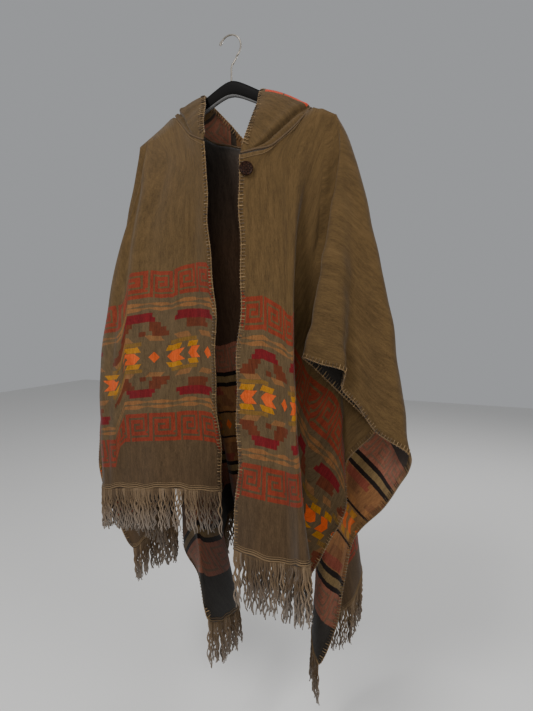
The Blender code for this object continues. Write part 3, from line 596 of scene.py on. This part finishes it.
class Value:
    """A node's output, worked with as a number. Masks are 0 or 1."""

    def __init__(self, socket):
        self.socket = socket

    def math(self, operation, second=0.0, first=None):
        node = self.socket.id_data.nodes.new("ShaderNodeMath")
        node.operation = operation
        put(node.inputs[0], self if first is None else first)
        put(node.inputs[1], second)
        return Value(node.outputs[0])

    __add__ = method("ADD")
    __sub__ = method("SUBTRACT")
    __mul__ = __and__ = method("MULTIPLY")
    __abs__ = method("ABSOLUTE")
    __lt__ = method("LESS_THAN")
    __gt__ = method("GREATER_THAN")
    __or__ = most = method("MAXIMUM")
    least = method("MINIMUM")
    whole = method("FLOOR")
    modulo = method("FLOORED_MODULO")

    def __rsub__(self, other):
        return self.math("SUBTRACT", self, other)

    def __truediv__(self, number):
        return self * (1.0 / number)

    def within(self, low, high):
        return (self > low) & (self < high)

    def span(self, low, high):
        """0 at low, 1 at high, straight between them."""
        return ((self - low) / (high - low)).most(0.0).least(1.0)

    def part(self, pitch):
        """Place inside its repeat, from 0 to 1."""
        return (self / pitch).math("FRACT")

    def number(self, pitch, every):
        """Number of its repeat, counted round."""
        return (self / pitch).whole().modulo(every)


class Nodes:
    """The node tree of one material."""

    def __init__(self, name):
        self.material = bpy.data.materials.new(name)
        self.material.use_nodes = True
        self.tree = self.material.node_tree
        self.shader = self.tree.nodes["Principled BSDF"]

    def node(self, kind, values, out=0, **settings):
        """The output of a new node."""
        made = self.tree.nodes.new(kind)
        for key, value in settings.items():
            setattr(made, key, value)
        for key, value in values.items():
            put(made.inputs[key], value)
        return Value(made.outputs[out])

    def mix(self, share, first, second, blend="MIX"):
        values = {"Factor": share, 6: first, 7: second}
        return self.node("ShaderNodeMix", values, 2, data_type="RGBA", blend_type=blend)

    def layers(self, colour, *layers):
        """Colours laid over the first one, each as (mask, share, colour)."""
        for mask, share, over in layers:
            colour = self.mix(mask * share, colour, over)
        return colour

    def noise(self, vector, scale, detail=2.0, rough=0.5):
        values = {"Vector": vector, "Scale": scale, "Detail": detail, "Roughness": rough}
        return self.node("ShaderNodeTexNoise", values, "Fac")

    def vector(self, x, y):
        return self.node("ShaderNodeCombineXYZ", {0: x, 1: y})

    def uv(self, name):
        place = self.node("ShaderNodeUVMap", {}, uv_map=name)
        return [self.node("ShaderNodeSeparateXYZ", {0: place}, k) for k in (0, 1)]

    def ramp(self, share, stops, kind="LINEAR"):
        """A colour for each share, from (position, colour) stops."""
        made = self.node("ShaderNodeValToRGB", {0: share})
        shades = made.socket.node.color_ramp
        shades.interpolation = kind
        elements = shades.elements
        while len(elements) < len(stops):
            elements.new(1.0)
        for k, (position, colour) in enumerate(stops):
            elements[k].position, elements[k].color = position, (*colour, 1.0)
        return made

    def chart(self, rows, across, down):
        """1 where the chart is marked. across and down run from 0 to 1 over it."""
        wide, tall = len(rows[0]), len(rows)
        marks = [sum(1 << i for i, mark in enumerate(row) if mark == "#") for row in rows]
        stops = [(k / tall, (bits / (1 << wide),) * 3) for k, bits in enumerate(marks)]
        grey = self.ramp(down, stops, "CONSTANT")
        level = self.node("ShaderNodeSeparateColor", {0: grey})
        column = (across * wide).whole()
        shift = column.math("POWER", column, 2.0)
        return (level * float(1 << wide) + 0.25).math("DIVIDE", shift).whole().modulo(2.0)

    def bump(self, height, strength, distance, invert=False):
        values = {"Strength": strength, "Distance": distance, "Height": height}
        put(self.shader.inputs["Normal"], self.node("ShaderNodeBump", values, invert=invert))

    def finish(self, colour, rough, **values):
        """The material, with its shader's sockets set by their names."""
        for key, value in dict(values, Base_Color=colour, Roughness=rough).items():
            put(self.shader.inputs[key.replace("_", " ")], value)
        return self.material


def dashes(a, m, row):
    middle, slant, moved, pitch, long, tall = row
    y = m - middle
    x = ((a + y * slant + moved).part(pitch) - 0.5) * pitch
    return (abs(x) < long) & (abs(y) < tall)


def band_masks(n, a, b):
    """Where each colour of the woven band shows, with m."""
    past = abs(b - CLOTH_MIDDLE) - BAND_MIDDLE
    m = abs(past)
    masks = SimpleNamespace(m=m)

    beyond = past > 0.0
    near, far = (past + (KEY_FROM + KEY_TALL)) / KEY_TALL, (past - KEY_FROM) / KEY_TALL
    masks.key_band = m.within(KEY_FROM, KEY_FROM + KEY_TALL)
    key = n.chart(KEY_CHART, a.part(KEY_PITCH), near * (1.0 - beyond) + far * beyond)
    masks.key = masks.key_band & key

    # a pair of thin stripes that swells into lenses
    y = abs(m - LENS_AT)
    x, x2 = (abs((a + moved).part(STEP_PITCH) - 0.5) * STEP_PITCH / LENS_LONG for moved in (0.02, 0.09))
    swell = (1.0 - x).most((1.0 - x2) * 0.6).most(0.0)
    low = (swell * -0.0040 + 0.0042).most(0.0009)
    high = (swell * 0.0070 + 0.0076).least(0.0115)
    masks.stripe = (y > low) & (y < high)
    masks.lens = masks.stripe & (swell > 0.25)

    # bars with steps
    down = (m - STEP_FROM) / STEP_TALL
    odd = a.number(STEP_PITCH, 2.0)
    opened, solid = (n.chart(chart, a.part(STEP_PITCH), down) for chart in (OPEN_CHART, SOLID_CHART))
    marked = m.within(STEP_FROM, STEP_FROM + STEP_TALL) & (opened * (1.0 - odd) + solid * odd)
    masks.bar = marked & (down > STEP_BAR_FROM)
    masks.step = marked & (1.0 - (down > STEP_BAR_FROM))

    masks.tan = dashes(a, m, TAN_DASHES)
    masks.moss = dashes(a, m, MOSS_DASHES)

    # chevrons, which turn round every third place, with lozenges between them
    front_left = (a > 0.0) & (b > 0.0)
    moved = a + front_left * (3 * CHEVRON_PITCH)
    at = moved.number(CHEVRON_PITCH, 6.0)
    x = (moved.part(CHEVRON_PITCH) - 0.5) * CHEVRON_PITCH * (1.0 - (at > 2.5) * 2.0)
    lozenge = at.modulo(3.0) > 1.5
    chevron = 1.0 - lozenge
    shape = (abs(x + m * 0.90 - 0.0050) < 0.0140) & (m < CHEVRON_TALL) & chevron
    diamond = (abs(x) / LOZENGE[0] + m / LOZENGE[1] < 1.0) & lozenge
    masks.orange = shape | diamond
    slanted = x + (m - 0.0145) * 0.55 - 0.0060
    masks.mustard = (abs(slanted) < 0.0160) & m.within(0.0150, 0.0276) & chevron
    return masks


def cloth_nodes(name, edge):
    """Nodes for cloth, its coordinates, and the same with soft uneven edges."""
    n = Nodes(name)
    a, b = n.uv("cloth")
    across = n.noise(n.vector(a, b), 260.0) - 0.5
    down = n.noise(n.vector(b, a), 240.0) - 0.5
    return n, (a, b), (a + across * edge, b + down * edge)


def finish_cloth(n, colour, place, dark=0.42, light=0.97, painted_light_gain=1.0):
    """Uneven brushed wool in the given colour, from dark to light."""
    a, b = place
    grains, level = {}, 0.0
    for name, (stretch, scale, detail, rough, share) in GRAINS.items():
        grains[name] = n.noise(n.vector(a * stretch, b), scale, detail, rough)
        level = grains[name] * share + level
    # the last argument scales the tone: painted light where it is not 1
    tone = (level.span(0.38, 0.62) * (light - dark) + dark) * painted_light_gain
    n.bump(grains["streak"] * 0.9 + grains["fleck"] * 0.7, 0.55, 0.0012)
    colour = n.mix(1.0, colour, tone, "MULTIPLY")
    return n.finish(colour, 0.92, Specular_IOR_Level=0.1, Sheen_Weight=0.1, Sheen_Roughness=0.5)


def outer_cloth():
    n, flat, soft = cloth_nodes("cloth_outer", 0.0026)
    masks = band_masks(n, *soft)
    # painted shade: the wool darkens and greys towards the hems
    wool = n.mix(abs(flat[1]).span(0.35, 0.95), WOOL, WOOL_PAINTED_SHADE)
    colour = n.layers(
        n.mix(masks.m < KEY_FROM, wool, OLIVE),
        (masks.moss, 0.75, MOSS),
        (masks.stripe, 0.60, TAN),
        (masks.lens, 0.75, TAN),
        (masks.tan, 0.75, TAN),
        (masks.key, 0.88, RED),
        (masks.step, 0.90, RUST),
        (masks.bar, 1.00, CRIMSON),
        (masks.mustard, 1.00, MUSTARD),
        (masks.orange, 1.00, ORANGE),
    )
    return finish_cloth(n, colour, flat)


def inner_cloth():
    """The reverse of the band: salmon keys on salmon, black stripes, and the middle in muted tones."""
    n, (a, b), soft = cloth_nodes("cloth_inner", 0.0030)
    masks = band_masks(n, *soft)
    m = masks.m
    # painted light and shade: the reverse is made lighter and warmer high up behind the fronts, where it
    # lies deep in shade, and darker lower down, where light reaches it
    high = b.span(-0.90, -0.45) * b.span(-0.04, -0.26) * (1.0 - abs(a).span(0.40, 0.80) * 0.6)
    colour = n.layers(
        n.mix(masks.key_band, n.mix(high, INSIDE_LOW, INSIDE_PAINTED_LIGHT), SALMON),
        (masks.key, 0.45, linear(150, 78, 60)),
        (m.within(0.1330, 0.1440), 1.00, BLACK),
        (m.within(0.1160, 0.1330), 1.00, linear(108, 88, 58)),
        (m.within(0.1050, 0.1160), 1.00, BLACK),
        (m.within(0.0320, 0.1050), 1.00, linear(116, 80, 50)),
        (masks.bar, 0.65, linear(110, 40, 40)),
        (masks.step, 0.55, linear(92, 58, 40)),
        (masks.tan, 0.55, TAN),
        (m < 0.0320, 1.00, linear(112, 82, 50)),
        (m.within(0.0320, 0.0370), 1.00, BLACK),
        (masks.mustard, 0.60, MUSTARD),
        (masks.orange, 0.65, ORANGE),
    )
    # painted light: the tone is raised high up behind the fronts and lowered below
    return finish_cloth(n, colour, (a, b), 0.60, 1.42, high * 1.50 + 0.72)


def hood_outside():
    """Plain cloth, with the band's red showing where the hood turns to the back."""
    n, flat, (u, v) = cloth_nodes("hood_outside", 0.0022)
    red = (u - v * 0.10).within(RED_FROM, RED_FROM + RED_WIDE)
    red = red & (abs(v - 0.0600) > 0.0020) & v.within(0.014, 0.122)
    return finish_cloth(n, n.mix(red, WOOL, linear(206, 70, 40)), flat, 0.35, 0.84)


def hood_inside():
    """Stripes of the reverse, across the hood."""
    n, flat, (u, v) = cloth_nodes("hood_inside", 0.0022)
    place = (u - 0.014).part(0.150)
    key = n.chart(KEY_CHART, v.part(KEY_PITCH), place / HOOD_KEY) & (place < HOOD_KEY)
    colour = n.layers(
        n.mix(place.within(0.0, HOOD_KEY), INSIDE, SALMON),
        (key, 0.42, linear(146, 76, 58)),
        (place.within(0.46, 0.60), 1.00, linear(120, 92, 56)),
        (place.within(0.68, 0.86), 1.00, linear(108, 78, 50)),
    )
    return finish_cloth(n, colour, flat, 0.52, 1.10)


def yarn_material(name, *colours, tip=None):
    """Each strand's number, in the UV map, picks its tone."""
    n = Nodes(name)
    strand, down = n.uv("yarn")
    shade = n.ramp(strand, list(zip((0.0, 0.5, 0.86, 1.0), colours)))
    twist = n.noise(n.vector(strand * 40.0, down * 12.0), 6.0)
    shade = n.mix(twist * 0.45, shade, linear(60, 48, 36))
    # painted light: the strands lighten towards their ends, standing in for light that their shaded
    # lower parts lack
    if tip:
        shade = n.mix(down.span(0.35, 1.0) * 0.6, shade, tip)
    n.bump(twist, 0.5, 0.0006)
    return n.finish(shade, 0.95, Specular_IOR_Level=0.1, Sheen_Weight=0.2)


def carved_button():
    """Dark brown horn with a cut flower of eight petals round a ring."""
    n = Nodes("button_carved")
    u, v = n.uv("carving")
    reach = (u * u + v * v).math("SQRT")
    petals = (v.math("ARCTAN2", u) * 8.0).math("COSINE")
    petal = abs(reach - (petals * 0.14 + 0.62)) < 0.075
    holes = (abs(abs(u) - 0.12) < 0.06) & (abs(abs(v) - 0.12) < 0.06)
    cut = petal | reach.within(0.26, 0.34) | reach.within(0.88, 0.93) | holes
    n.bump(cut, 0.9, 0.0012, invert=True)
    # painted shade: the cut grooves are coloured near black against the horn's own brown
    colour = n.mix(cut, linear(46, 25, 14), linear(12, 6, 4))
    return n.finish(colour, 0.42, Specular_IOR_Level=0.1)


def black_plastic():
    """Black, with the pale line of light that the lower edge shows."""
    n = Nodes("hanger_black")
    _, drop = n.uv("edge")
    colour = n.mix(drop > 0.86, linear(12, 10, 9), linear(104, 103, 102))
    return n.finish(colour, 0.6, Specular_IOR_Level=0.08)


def plain(name, colour, rough, metal=0.0, grain=340.0, depth=0.3):
    """One colour with a fine grain in its tone and shine."""
    n = Nodes(name)
    speckle = n.noise(n.node("ShaderNodeTexCoord", {}, "Object"), grain, 3.0)
    deep = tuple(0.5 * value for value in colour)
    shade = n.mix(speckle * depth, colour, deep)
    return n.finish(shade, speckle * 0.16 + (rough - 0.08), Metallic=metal)


# ---------------------------------------------------------------- pieces

STRAND_PITCH = 0.0034
STRAND_STEPS = 18
STRAND_DROPS = dict(fringe_front_left=0.118, fringe_front_right=0.094, fringe_back=0.106)
BUTTON_RADIUS = 0.0145

HEMS = dict(
    fringe_front_left=lambda a, b, x: b > FRONT_LENGTH - NEAR and a >= 0 and x > OPENING_X,
    fringe_front_right=lambda a, b, x: b > FRONT_LENGTH - NEAR and a <= 0 and x < OPENING_X,
    fringe_back=lambda a, b, x: b < -BACK_LENGTH + NEAR,
)

# Rise above the hem, lift off the cloth (below 0 on its inner side) and radius of each line
HEM_LINES = (
    (0.0022, 0.0012, 0.0018),
    (0.0068, 0.0011, 0.0014),
    (0.0110, 0.0009, 0.0008),
    (0.0024, -0.0014, 0.0017),
    (0.0085, -0.0013, 0.0010),
)

STITCH_PITCH = 0.0074
STITCH_LONG = 0.0092
STITCH_THICK = 0.0010
EDGE_YARN = 0.0017
STITCH_LIFT = SHELL / 2 + STITCH_THICK * 0.7
STITCH_UNDER = STITCH_LIFT + 0.0013

# A stitch from the outer face round the edge: how far in, as a share of its length and
# in metres, how far out from the cloth's middle, and the share of its thickness
STITCH = (
    (1.0, 0.0, 0.3 * SHELL, 0.8),
    (0.6, 0.0, STITCH_LIFT, 1.0),
    (0.0, 0.0006, STITCH_LIFT + 0.0006, 1.0),
    (0.0, -EDGE_YARN - 0.0004, 0.0, 1.0),
    (0.0, 0.0006, -STITCH_LIFT - 0.0006, 1.0),
    (0.8, 0.0, -STITCH_UNDER, 1.0),
    (1.3, 0.0, -STITCH_UNDER, 0.8),
)

# Hanger arms: half span, top line, section and rounded ends
ARM_HALF_SPAN = 0.207
ARM_TOP_Z, ARM_SLOPE, ARM_CROWN = -0.099, 0.585, 0.02
ARM_THICK, ARM_TALL_MIDDLE, ARM_TALL_END = 0.013, 0.036, 0.024
ARM_ROUND_FROM, ARM_ROUND_LEAST, ARM_SQUARENESS = 0.93, 0.04, 0.7
ARM_STATIONS, ARM_SIDES = 72, 28

# Camera: how far away and how high, then in degrees where it stands, the way it looks and its pitch
CAMERA_AWAY, CAMERA_Z = 1.30, -0.62
CAMERA_ANGLES = (28, 24.5, 4.5)
FLOOR_HALF, FLOOR_Z = 6.0, -1.75

# Lights: place, size and power
LIGHTS = dict(
    key=((-0.5, -2.5, 1.8), 1.1, 100.0),
    fill=((0.9, -2.2, -0.5), 0.9, 9.0),
    side=((2.7, -1.2, 1.0), 1.6, 38.0),
    back=((0.6, 2.8, 1.6), 2.0, 60.0),
)


def map_corners(mesh, name, marks):
    """A UV map that gives each corner its point's marks."""
    corners = np.empty(len(mesh.loops), np.int32)
    mesh.loops.foreach_get("vertex_index", corners)
    layer = mesh.uv_layers.new(name=name)
    layer.data.foreach_set("uv", np.asarray(marks, np.float32)[corners].reshape(-1))


def placed(name, data):
    obj = bpy.data.objects.new(name, data)
    bpy.context.scene.collection.objects.link(obj)
    return obj


def piece(name, points, faces, materials, uv, marks):
    """A smooth piece of the body, with a UV map of marks."""
    mesh = bpy.data.meshes.new(name)
    mesh.from_pydata(np.asarray(points, float).tolist(), [], faces)
    mesh.update()
    for material in materials:
        mesh.materials.append(material)
    mesh.polygons.foreach_set("use_smooth", np.ones(len(mesh.polygons), bool))
    map_corners(mesh, uv, marks)
    obj = placed(name, mesh)
    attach(obj, "root")
    return obj


def shell(name, grid, normals, faces, cloth, materials):
    """A closed thin shell: outer face, inner face and edge. cloth goes into the UV map."""
    points, lift = grid.reshape(-1, 3), normals.reshape(-1, 3) * SHELL / 2
    count = len(points)
    walls = list(faces) + [tuple(k + count for k in reversed(face)) for face in faces]
    used = {(face[k], face[(k + 1) % len(face)]) for face in faces for k in range(len(face))}
    rim = [(q, p, p + count, q + count) for p, q in used if (q, p) not in used]
    both = np.concatenate([points + lift, points - lift])
    obj = piece(name, both, walls + rim, materials, "cloth", np.tile(cloth.reshape(-1, 2), (2, 1)))
    for polygon in obj.data.polygons[len(faces) : len(walls)]:
        polygon.material_index = 1
    return obj


def tube_faces(start, rings, sides):
    """Faces round a tube with closed ends, from the number of its first point."""
    faces = []
    for p in range(start, start + (rings - 1) * sides, sides):
        for m in range(sides):
            n = (m + 1) % sides
            faces.append((p + m, p + sides + m, p + sides + n, p + n))
    last = start + (rings - 1) * sides
    return faces + [tuple(range(start, start + sides)), tuple(range(last, last + sides))[::-1]]


def tubes(name, lines, slot, sides=5, tones=None):
    """One mesh of many tubes. Each line is a list of (place, radius)."""
    points, faces, marks = [], [], []
    angles = math.tau * np.arange(sides)[:, None] / sides
    for number, line in enumerate(lines):
        places, radii = (np.array(column) for column in zip(*line))
        run = unit(np.gradient(places, axis=0))
        helper = (0.31, 0.92, 0.2) if abs(run[0][1]) < 0.8 else (1.0, 0.1, 0.2)
        side = unit(np.cross(run, helper))
        other = np.cross(run, side)
        rings = side[:, None] * np.cos(angles) + other[:, None] * np.sin(angles)
        faces += tube_faces(len(points), len(line), sides)
        points.extend((places[:, None] + rings * radii[:, None, None]).reshape(-1, 3))
        for share in np.linspace(0.0, 1.0, len(line)):
            marks += [(tones[number] if tones else 0.5, share)] * sides
    return piece(name, points, faces, (slot,), "yarn", marks)


def hem_of(grid, normals, cloth, wanted):
    """Places along a hem, with the ways down and outwards."""
    at = [i for i in range(len(grid)) if wanted(*cloth[i, -1], grid[i, -1, 0])]
    return grid[at, -1], unit(grid[at, -1] - grid[at, -2]), normals[at, -1]


def fringe_lines(place, down, drop):
    """Strands along a hem, in locks that share a lean and nearly a tone."""
    steps = lengths(place)
    spots = np.arange(STRAND_PITCH / 2, steps[-1], STRAND_PITCH)
    place, down = (read_at(v, steps, spots) for v in (place, down))
    s = np.linspace(0.0, 1.0, STRAND_STEPS)[:, None]
    lines, tones = [], []
    lock = 0
    for i, (root, way) in enumerate(zip(place, down)):
        if lock <= 0:
            lock = random.choice((2, 3, 4, 5, 6))
            lean = (random.gauss(0, 0.004), random.gauss(0, 0.004))
            middle = place[int(min(i + (lock - 1) / 2, len(place) - 1))]
            tone = random.random()
        lock -= 1
        length = drop * random.uniform(0.88, 1.06)
        radius = random.uniform(0.0017, 0.0026)
        phase = random.uniform(0, math.tau)
        curl = random.uniform(0.0012, 0.0034)
        turn = phase + random.uniform(13.0, 24.0) * s
        crimp = np.hstack([np.cos(turn), np.sin(turn), 0.0 * s]) * curl * np.minimum(1.0, 3.0 * s)
        sag = (middle - root) * 0.12 * s + way * 0.004 * np.minimum(1.0, 6.0 * s)
        line = root + sag + np.array([*lean, -length]) * s + crimp
        lines.append(list(zip(line, radius * (1 - 0.30 * s[:, 0] ** 4))))
        tones.append(0.72 * tone + 0.28 * random.random())
    return lines, tones


def neck_lines(grid, normals, cloth):
    """Sewing on the cloth below the neck seam, on each front and across the back."""
    lines, line = [], []
    for i in range(len(grid)):
        inside = SHOULDER_EDGE[-1] < grid[i, 0, 0] < SHOULDER_EDGE[1]
        if abs(cloth[i, 0, 0]) < SHOULDER_A - 0.004 and inside:
            down = unit(grid[i, 2] - grid[i, 0])
            line.append((grid[i, 0] + down * 0.0085 + normals[i, 1] * 0.0011, 0.0007))
        elif line:
            lines.append(line)
            line = []
    return [line for line in lines + [line] if len(line) > 3]


def hem_rolls(place, down, out):
    """A thin roll along a hem, with rows of sewing above it."""
    run = lengths(place)
    wave = 0.0022 * np.sin(run / 0.021) + 0.0016 * np.sin(run / 0.0087 + 1.3)
    for rise, lift, thick in HEM_LINES:
        yield [(p - d * (rise + w) + n * lift, thick) for p, d, n, w in zip(place, down, out, wave)]


def edge_paths(grid, normals, cloth):
    """The selvages and the two front edges."""
    for side in (1, -1):
        at = np.where(side * cloth[:, -1, 0] > HALF_WIDTH - NEAR)[0]
        at = np.arange(at.min(), at.max() + 1)
        yield grid[at, -1], unit(grid[at, -2] - grid[at, -1]), normals[at, -1]
    for edge, inner in ((0, 1), (-1, -2)):
        yield grid[edge], unit(grid[inner] - grid[edge]), normals[edge]


def stitched(name, paths, slot):
    """Blanket stitch: a yarn along each edge and a stitch over it every few millimetres.
    Each path is (places, inward directions, normals)."""
    lines, tones = [], []
    for place, inward, out in paths:
        steps = lengths(place)
        spots = np.linspace(0.0, steps[-1], max(2, int(steps[-1] / 0.004)))
        lines.append([(p, EDGE_YARN) for p in read_at(place, steps, spots)])
        tones.append(0.55)
        spots = np.arange(STITCH_PITCH, steps[-1], STITCH_PITCH)
        ways = (place, inward, out, np.gradient(place, axis=0))
        for p, d, n, run in zip(*(read_at(v, steps, spots) for v in ways)):
            n = n / np.linalg.norm(n)
            square = np.cross(n, run)
            d = unit(unit(square * np.sign(np.dot(square, d))) + 0.25 * unit(d))
            long = STITCH_LONG * random.uniform(0.85, 1.1)
            bends = [p + d * (long * share + far) + n * off for share, far, off, _ in STITCH]
            lines.append([(bend, STITCH_THICK * row[-1]) for bend, row in zip(bends, STITCH)])
            tones.append(random.random())
    return tubes(name, lines, slot, sides=4, tones=tones)


def build_cloth(slots):
    grid, cloth = sheet_grid()
    grid = crease(grid, grid_normals(grid), cloth)
    fill_shoulder(grid)
    normals = grid_normals(grid)
    faces = grid_faces(*grid.shape[:2]) + shoulder_faces(grid)
    body = shell("poncho_cloth", grid, normals, faces, band_places(cloth), slots["cloth"])
    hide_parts("poncho_body")
    sheet = grid, normals, cloth
    trims, rolled = [], []
    for name, wanted in HEMS.items():
        hem = hem_of(*sheet, wanted)
        rolled.extend(hem_rolls(*hem))
        lines, tones = fringe_lines(*hem[:2], STRAND_DROPS[name])
        fringe = tubes("yarn_" + name, lines, slots["yarn"], sides=4, tones=tones)
        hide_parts(name)
        trims.append(fringe)
    neck = tubes("neck_stitches", neck_lines(*sheet), slots["hem"])
    rolls = tubes("hem_rolls", rolled, slots["hem"], sides=6)
    edges = stitched("edge_stitches", edge_paths(*sheet), slots["stitch"])
    trims += [neck, rolls, edges]


def build_hood(slots):
    grid, cloth = hood_grid()
    crease_hood(grid, -grid_normals(grid))
    normals = -grid_normals(grid)
    ridge = int(np.argmax(grid[:, 0, 1] > 0.0))
    cloth[:, :, 0] -= cloth[ridge, 0, 0]
    faces = [face[::-1] for face in grid_faces(*grid.shape[:2])]
    hood = shell("hood_cloth", grid, normals, faces, cloth, slots["hood"])
    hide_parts("hood")
    rim = [(grid[:, -1], unit(grid[:, -2] - grid[:, -1]), normals[:, -1])]
    edge = stitched("hood_stitches", rim, slots["stitch"])
    seam = [(p - d * 0.0012, 0.0022) for p, d in zip(grid[:, 0], unit(grid[:, 1] - grid[:, 0]))]
    roll = tubes("neck_seam", [seam], slots["seam"], sides=8)


def arm_section(x):
    """Ring of points round the arm at x."""
    reach = abs(x) / ARM_HALF_SPAN
    top = ARM_TOP_Z - ARM_SLOPE * (math.hypot(x, ARM_CROWN) - ARM_CROWN)
    full = ARM_TALL_MIDDLE + (ARM_TALL_END - ARM_TALL_MIDDLE) * reach
    past = max(0.0, (reach - ARM_ROUND_FROM) / (1 - ARM_ROUND_FROM))
    end = math.sqrt(max(1 - past**2, ARM_ROUND_LEAST))
    angles = math.tau * np.arange(ARM_SIDES) / ARM_SIDES
    across, up = (np.copysign(abs(v) ** ARM_SQUARENESS, v) for v in (np.cos(angles), np.sin(angles)))
    y, z = ARM_THICK * end / 2 * across, top - full / 2 + full * end / 2 * up
    return np.stack([np.full(ARM_SIDES, x), y, z], axis=1)


def build_hanger():
    """The arms again, with a rounder section and a smoother arch."""
    points, marks = [], []
    for t in np.linspace(-1.0, 1.0, ARM_STATIONS + 1):
        ring = arm_section(ARM_HALF_SPAN * (0.5 * t + 0.5 * math.sin(math.pi * t / 2)))
        low, high = ring[:, 2].min(), ring[:, 2].max()
        points.extend(ring)
        marks.extend((t, (high - z) / (high - low)) for z in ring[:, 2])
    faces = [face[::-1] for face in tube_faces(0, ARM_STATIONS + 1, ARM_SIDES)]
    arms = piece("hanger_arms", points, faces, (black_plastic(),), "edge", marks)
    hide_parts("hanger_body")


def hard_parts():
    """Materials of the hook and the button, and the carving's place across the button."""
    steel = plain("hook_steel", linear(196, 186, 172), 0.26, 1.0, 45.0, 0.12)
    for node, slot in (("hook", steel), ("button", carved_button())):
        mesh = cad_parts[node].data
        mesh.materials.clear()
        mesh.materials.append(slot)
    places = np.array([tuple(vertex.co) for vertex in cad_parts["button"].data.vertices])
    places -= places.mean(axis=0)
    axes = np.linalg.svd(places)[2]
    map_corners(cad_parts["button"].data, "carving", places @ axes[:2].T / BUTTON_RADIUS)


def camera():
    azimuth, look, pitch = (math.radians(v) for v in CAMERA_ANGLES)
    data = bpy.data.cameras.new("camera")
    data.lens, data.sensor_width = 28.0, 36.0
    data.clip_start = 0.05
    obj = placed("camera", data)
    level = Vector((-math.sin(look), math.cos(look), 0.0))
    right = Vector((level.y, -level.x, 0.0))
    forward = level * math.cos(pitch) - Vector((0.0, 0.0, math.sin(pitch)))
    place = Vector((CAMERA_AWAY * math.sin(azimuth), -CAMERA_AWAY * math.cos(azimuth), CAMERA_Z))
    turned = Matrix((right, right.cross(forward), -forward)).transposed()
    obj.matrix_world = Matrix.Translation(place) @ turned.to_4x4()
    bpy.context.scene.camera = obj


def studio():
    mesh = bpy.data.meshes.new("floor")
    half = FLOOR_HALF
    corners = ((-half, -half), (half, -half), (half, half), (-half, half))
    mesh.from_pydata([(x, y, FLOOR_Z) for x, y in corners], [], [(0, 1, 2, 3)])
    mesh.materials.append(plain("floor", (0.78, 0.77, 0.75), 0.8))
    placed("floor", mesh)
    for name, (place, size, power) in LIGHTS.items():
        light = bpy.data.lights.new(name, "AREA")
        light.energy, light.size = power, size
        obj = placed(name, light)
        obj.location = place
        obj.rotation_mode = "QUATERNION"
        obj.rotation_quaternion = (Vector((0.0, 0.0, -0.7)) - Vector(place)).to_track_quat("-Z", "Y")
    world = bpy.data.worlds.new("world")
    world.use_nodes = True
    ground = world.node_tree.nodes["Background"]
    ground.inputs["Color"].default_value = (0.80, 0.82, 0.85, 1.0)
    ground.inputs["Strength"].default_value = 0.42
    bpy.context.scene.world = world


def main():
    fringe = linear(68, 53, 37), linear(96, 77, 55), linear(124, 103, 78), linear(112, 100, 88)
    stitch = linear(50, 37, 25), linear(112, 89, 59), linear(152, 124, 84), linear(44, 32, 22)
    slots = dict(
        cloth=(outer_cloth(), inner_cloth()),
        hood=(hood_outside(), hood_inside()),
        # the fringe's lighter ends are painted light
        yarn=yarn_material("fringe_yarn", *fringe, tip=linear(126, 118, 110)),
        stitch=yarn_material("stitch_yarn", *stitch),
        hem=plain("hem_yarn", linear(106, 85, 58), 0.95),
        seam=plain("seam_cloth", linear(80, 62, 40), 0.95),
    )
    build_cloth(slots)
    build_hood(slots)
    build_hanger()
    hard_parts()
    studio()
    camera()


main()
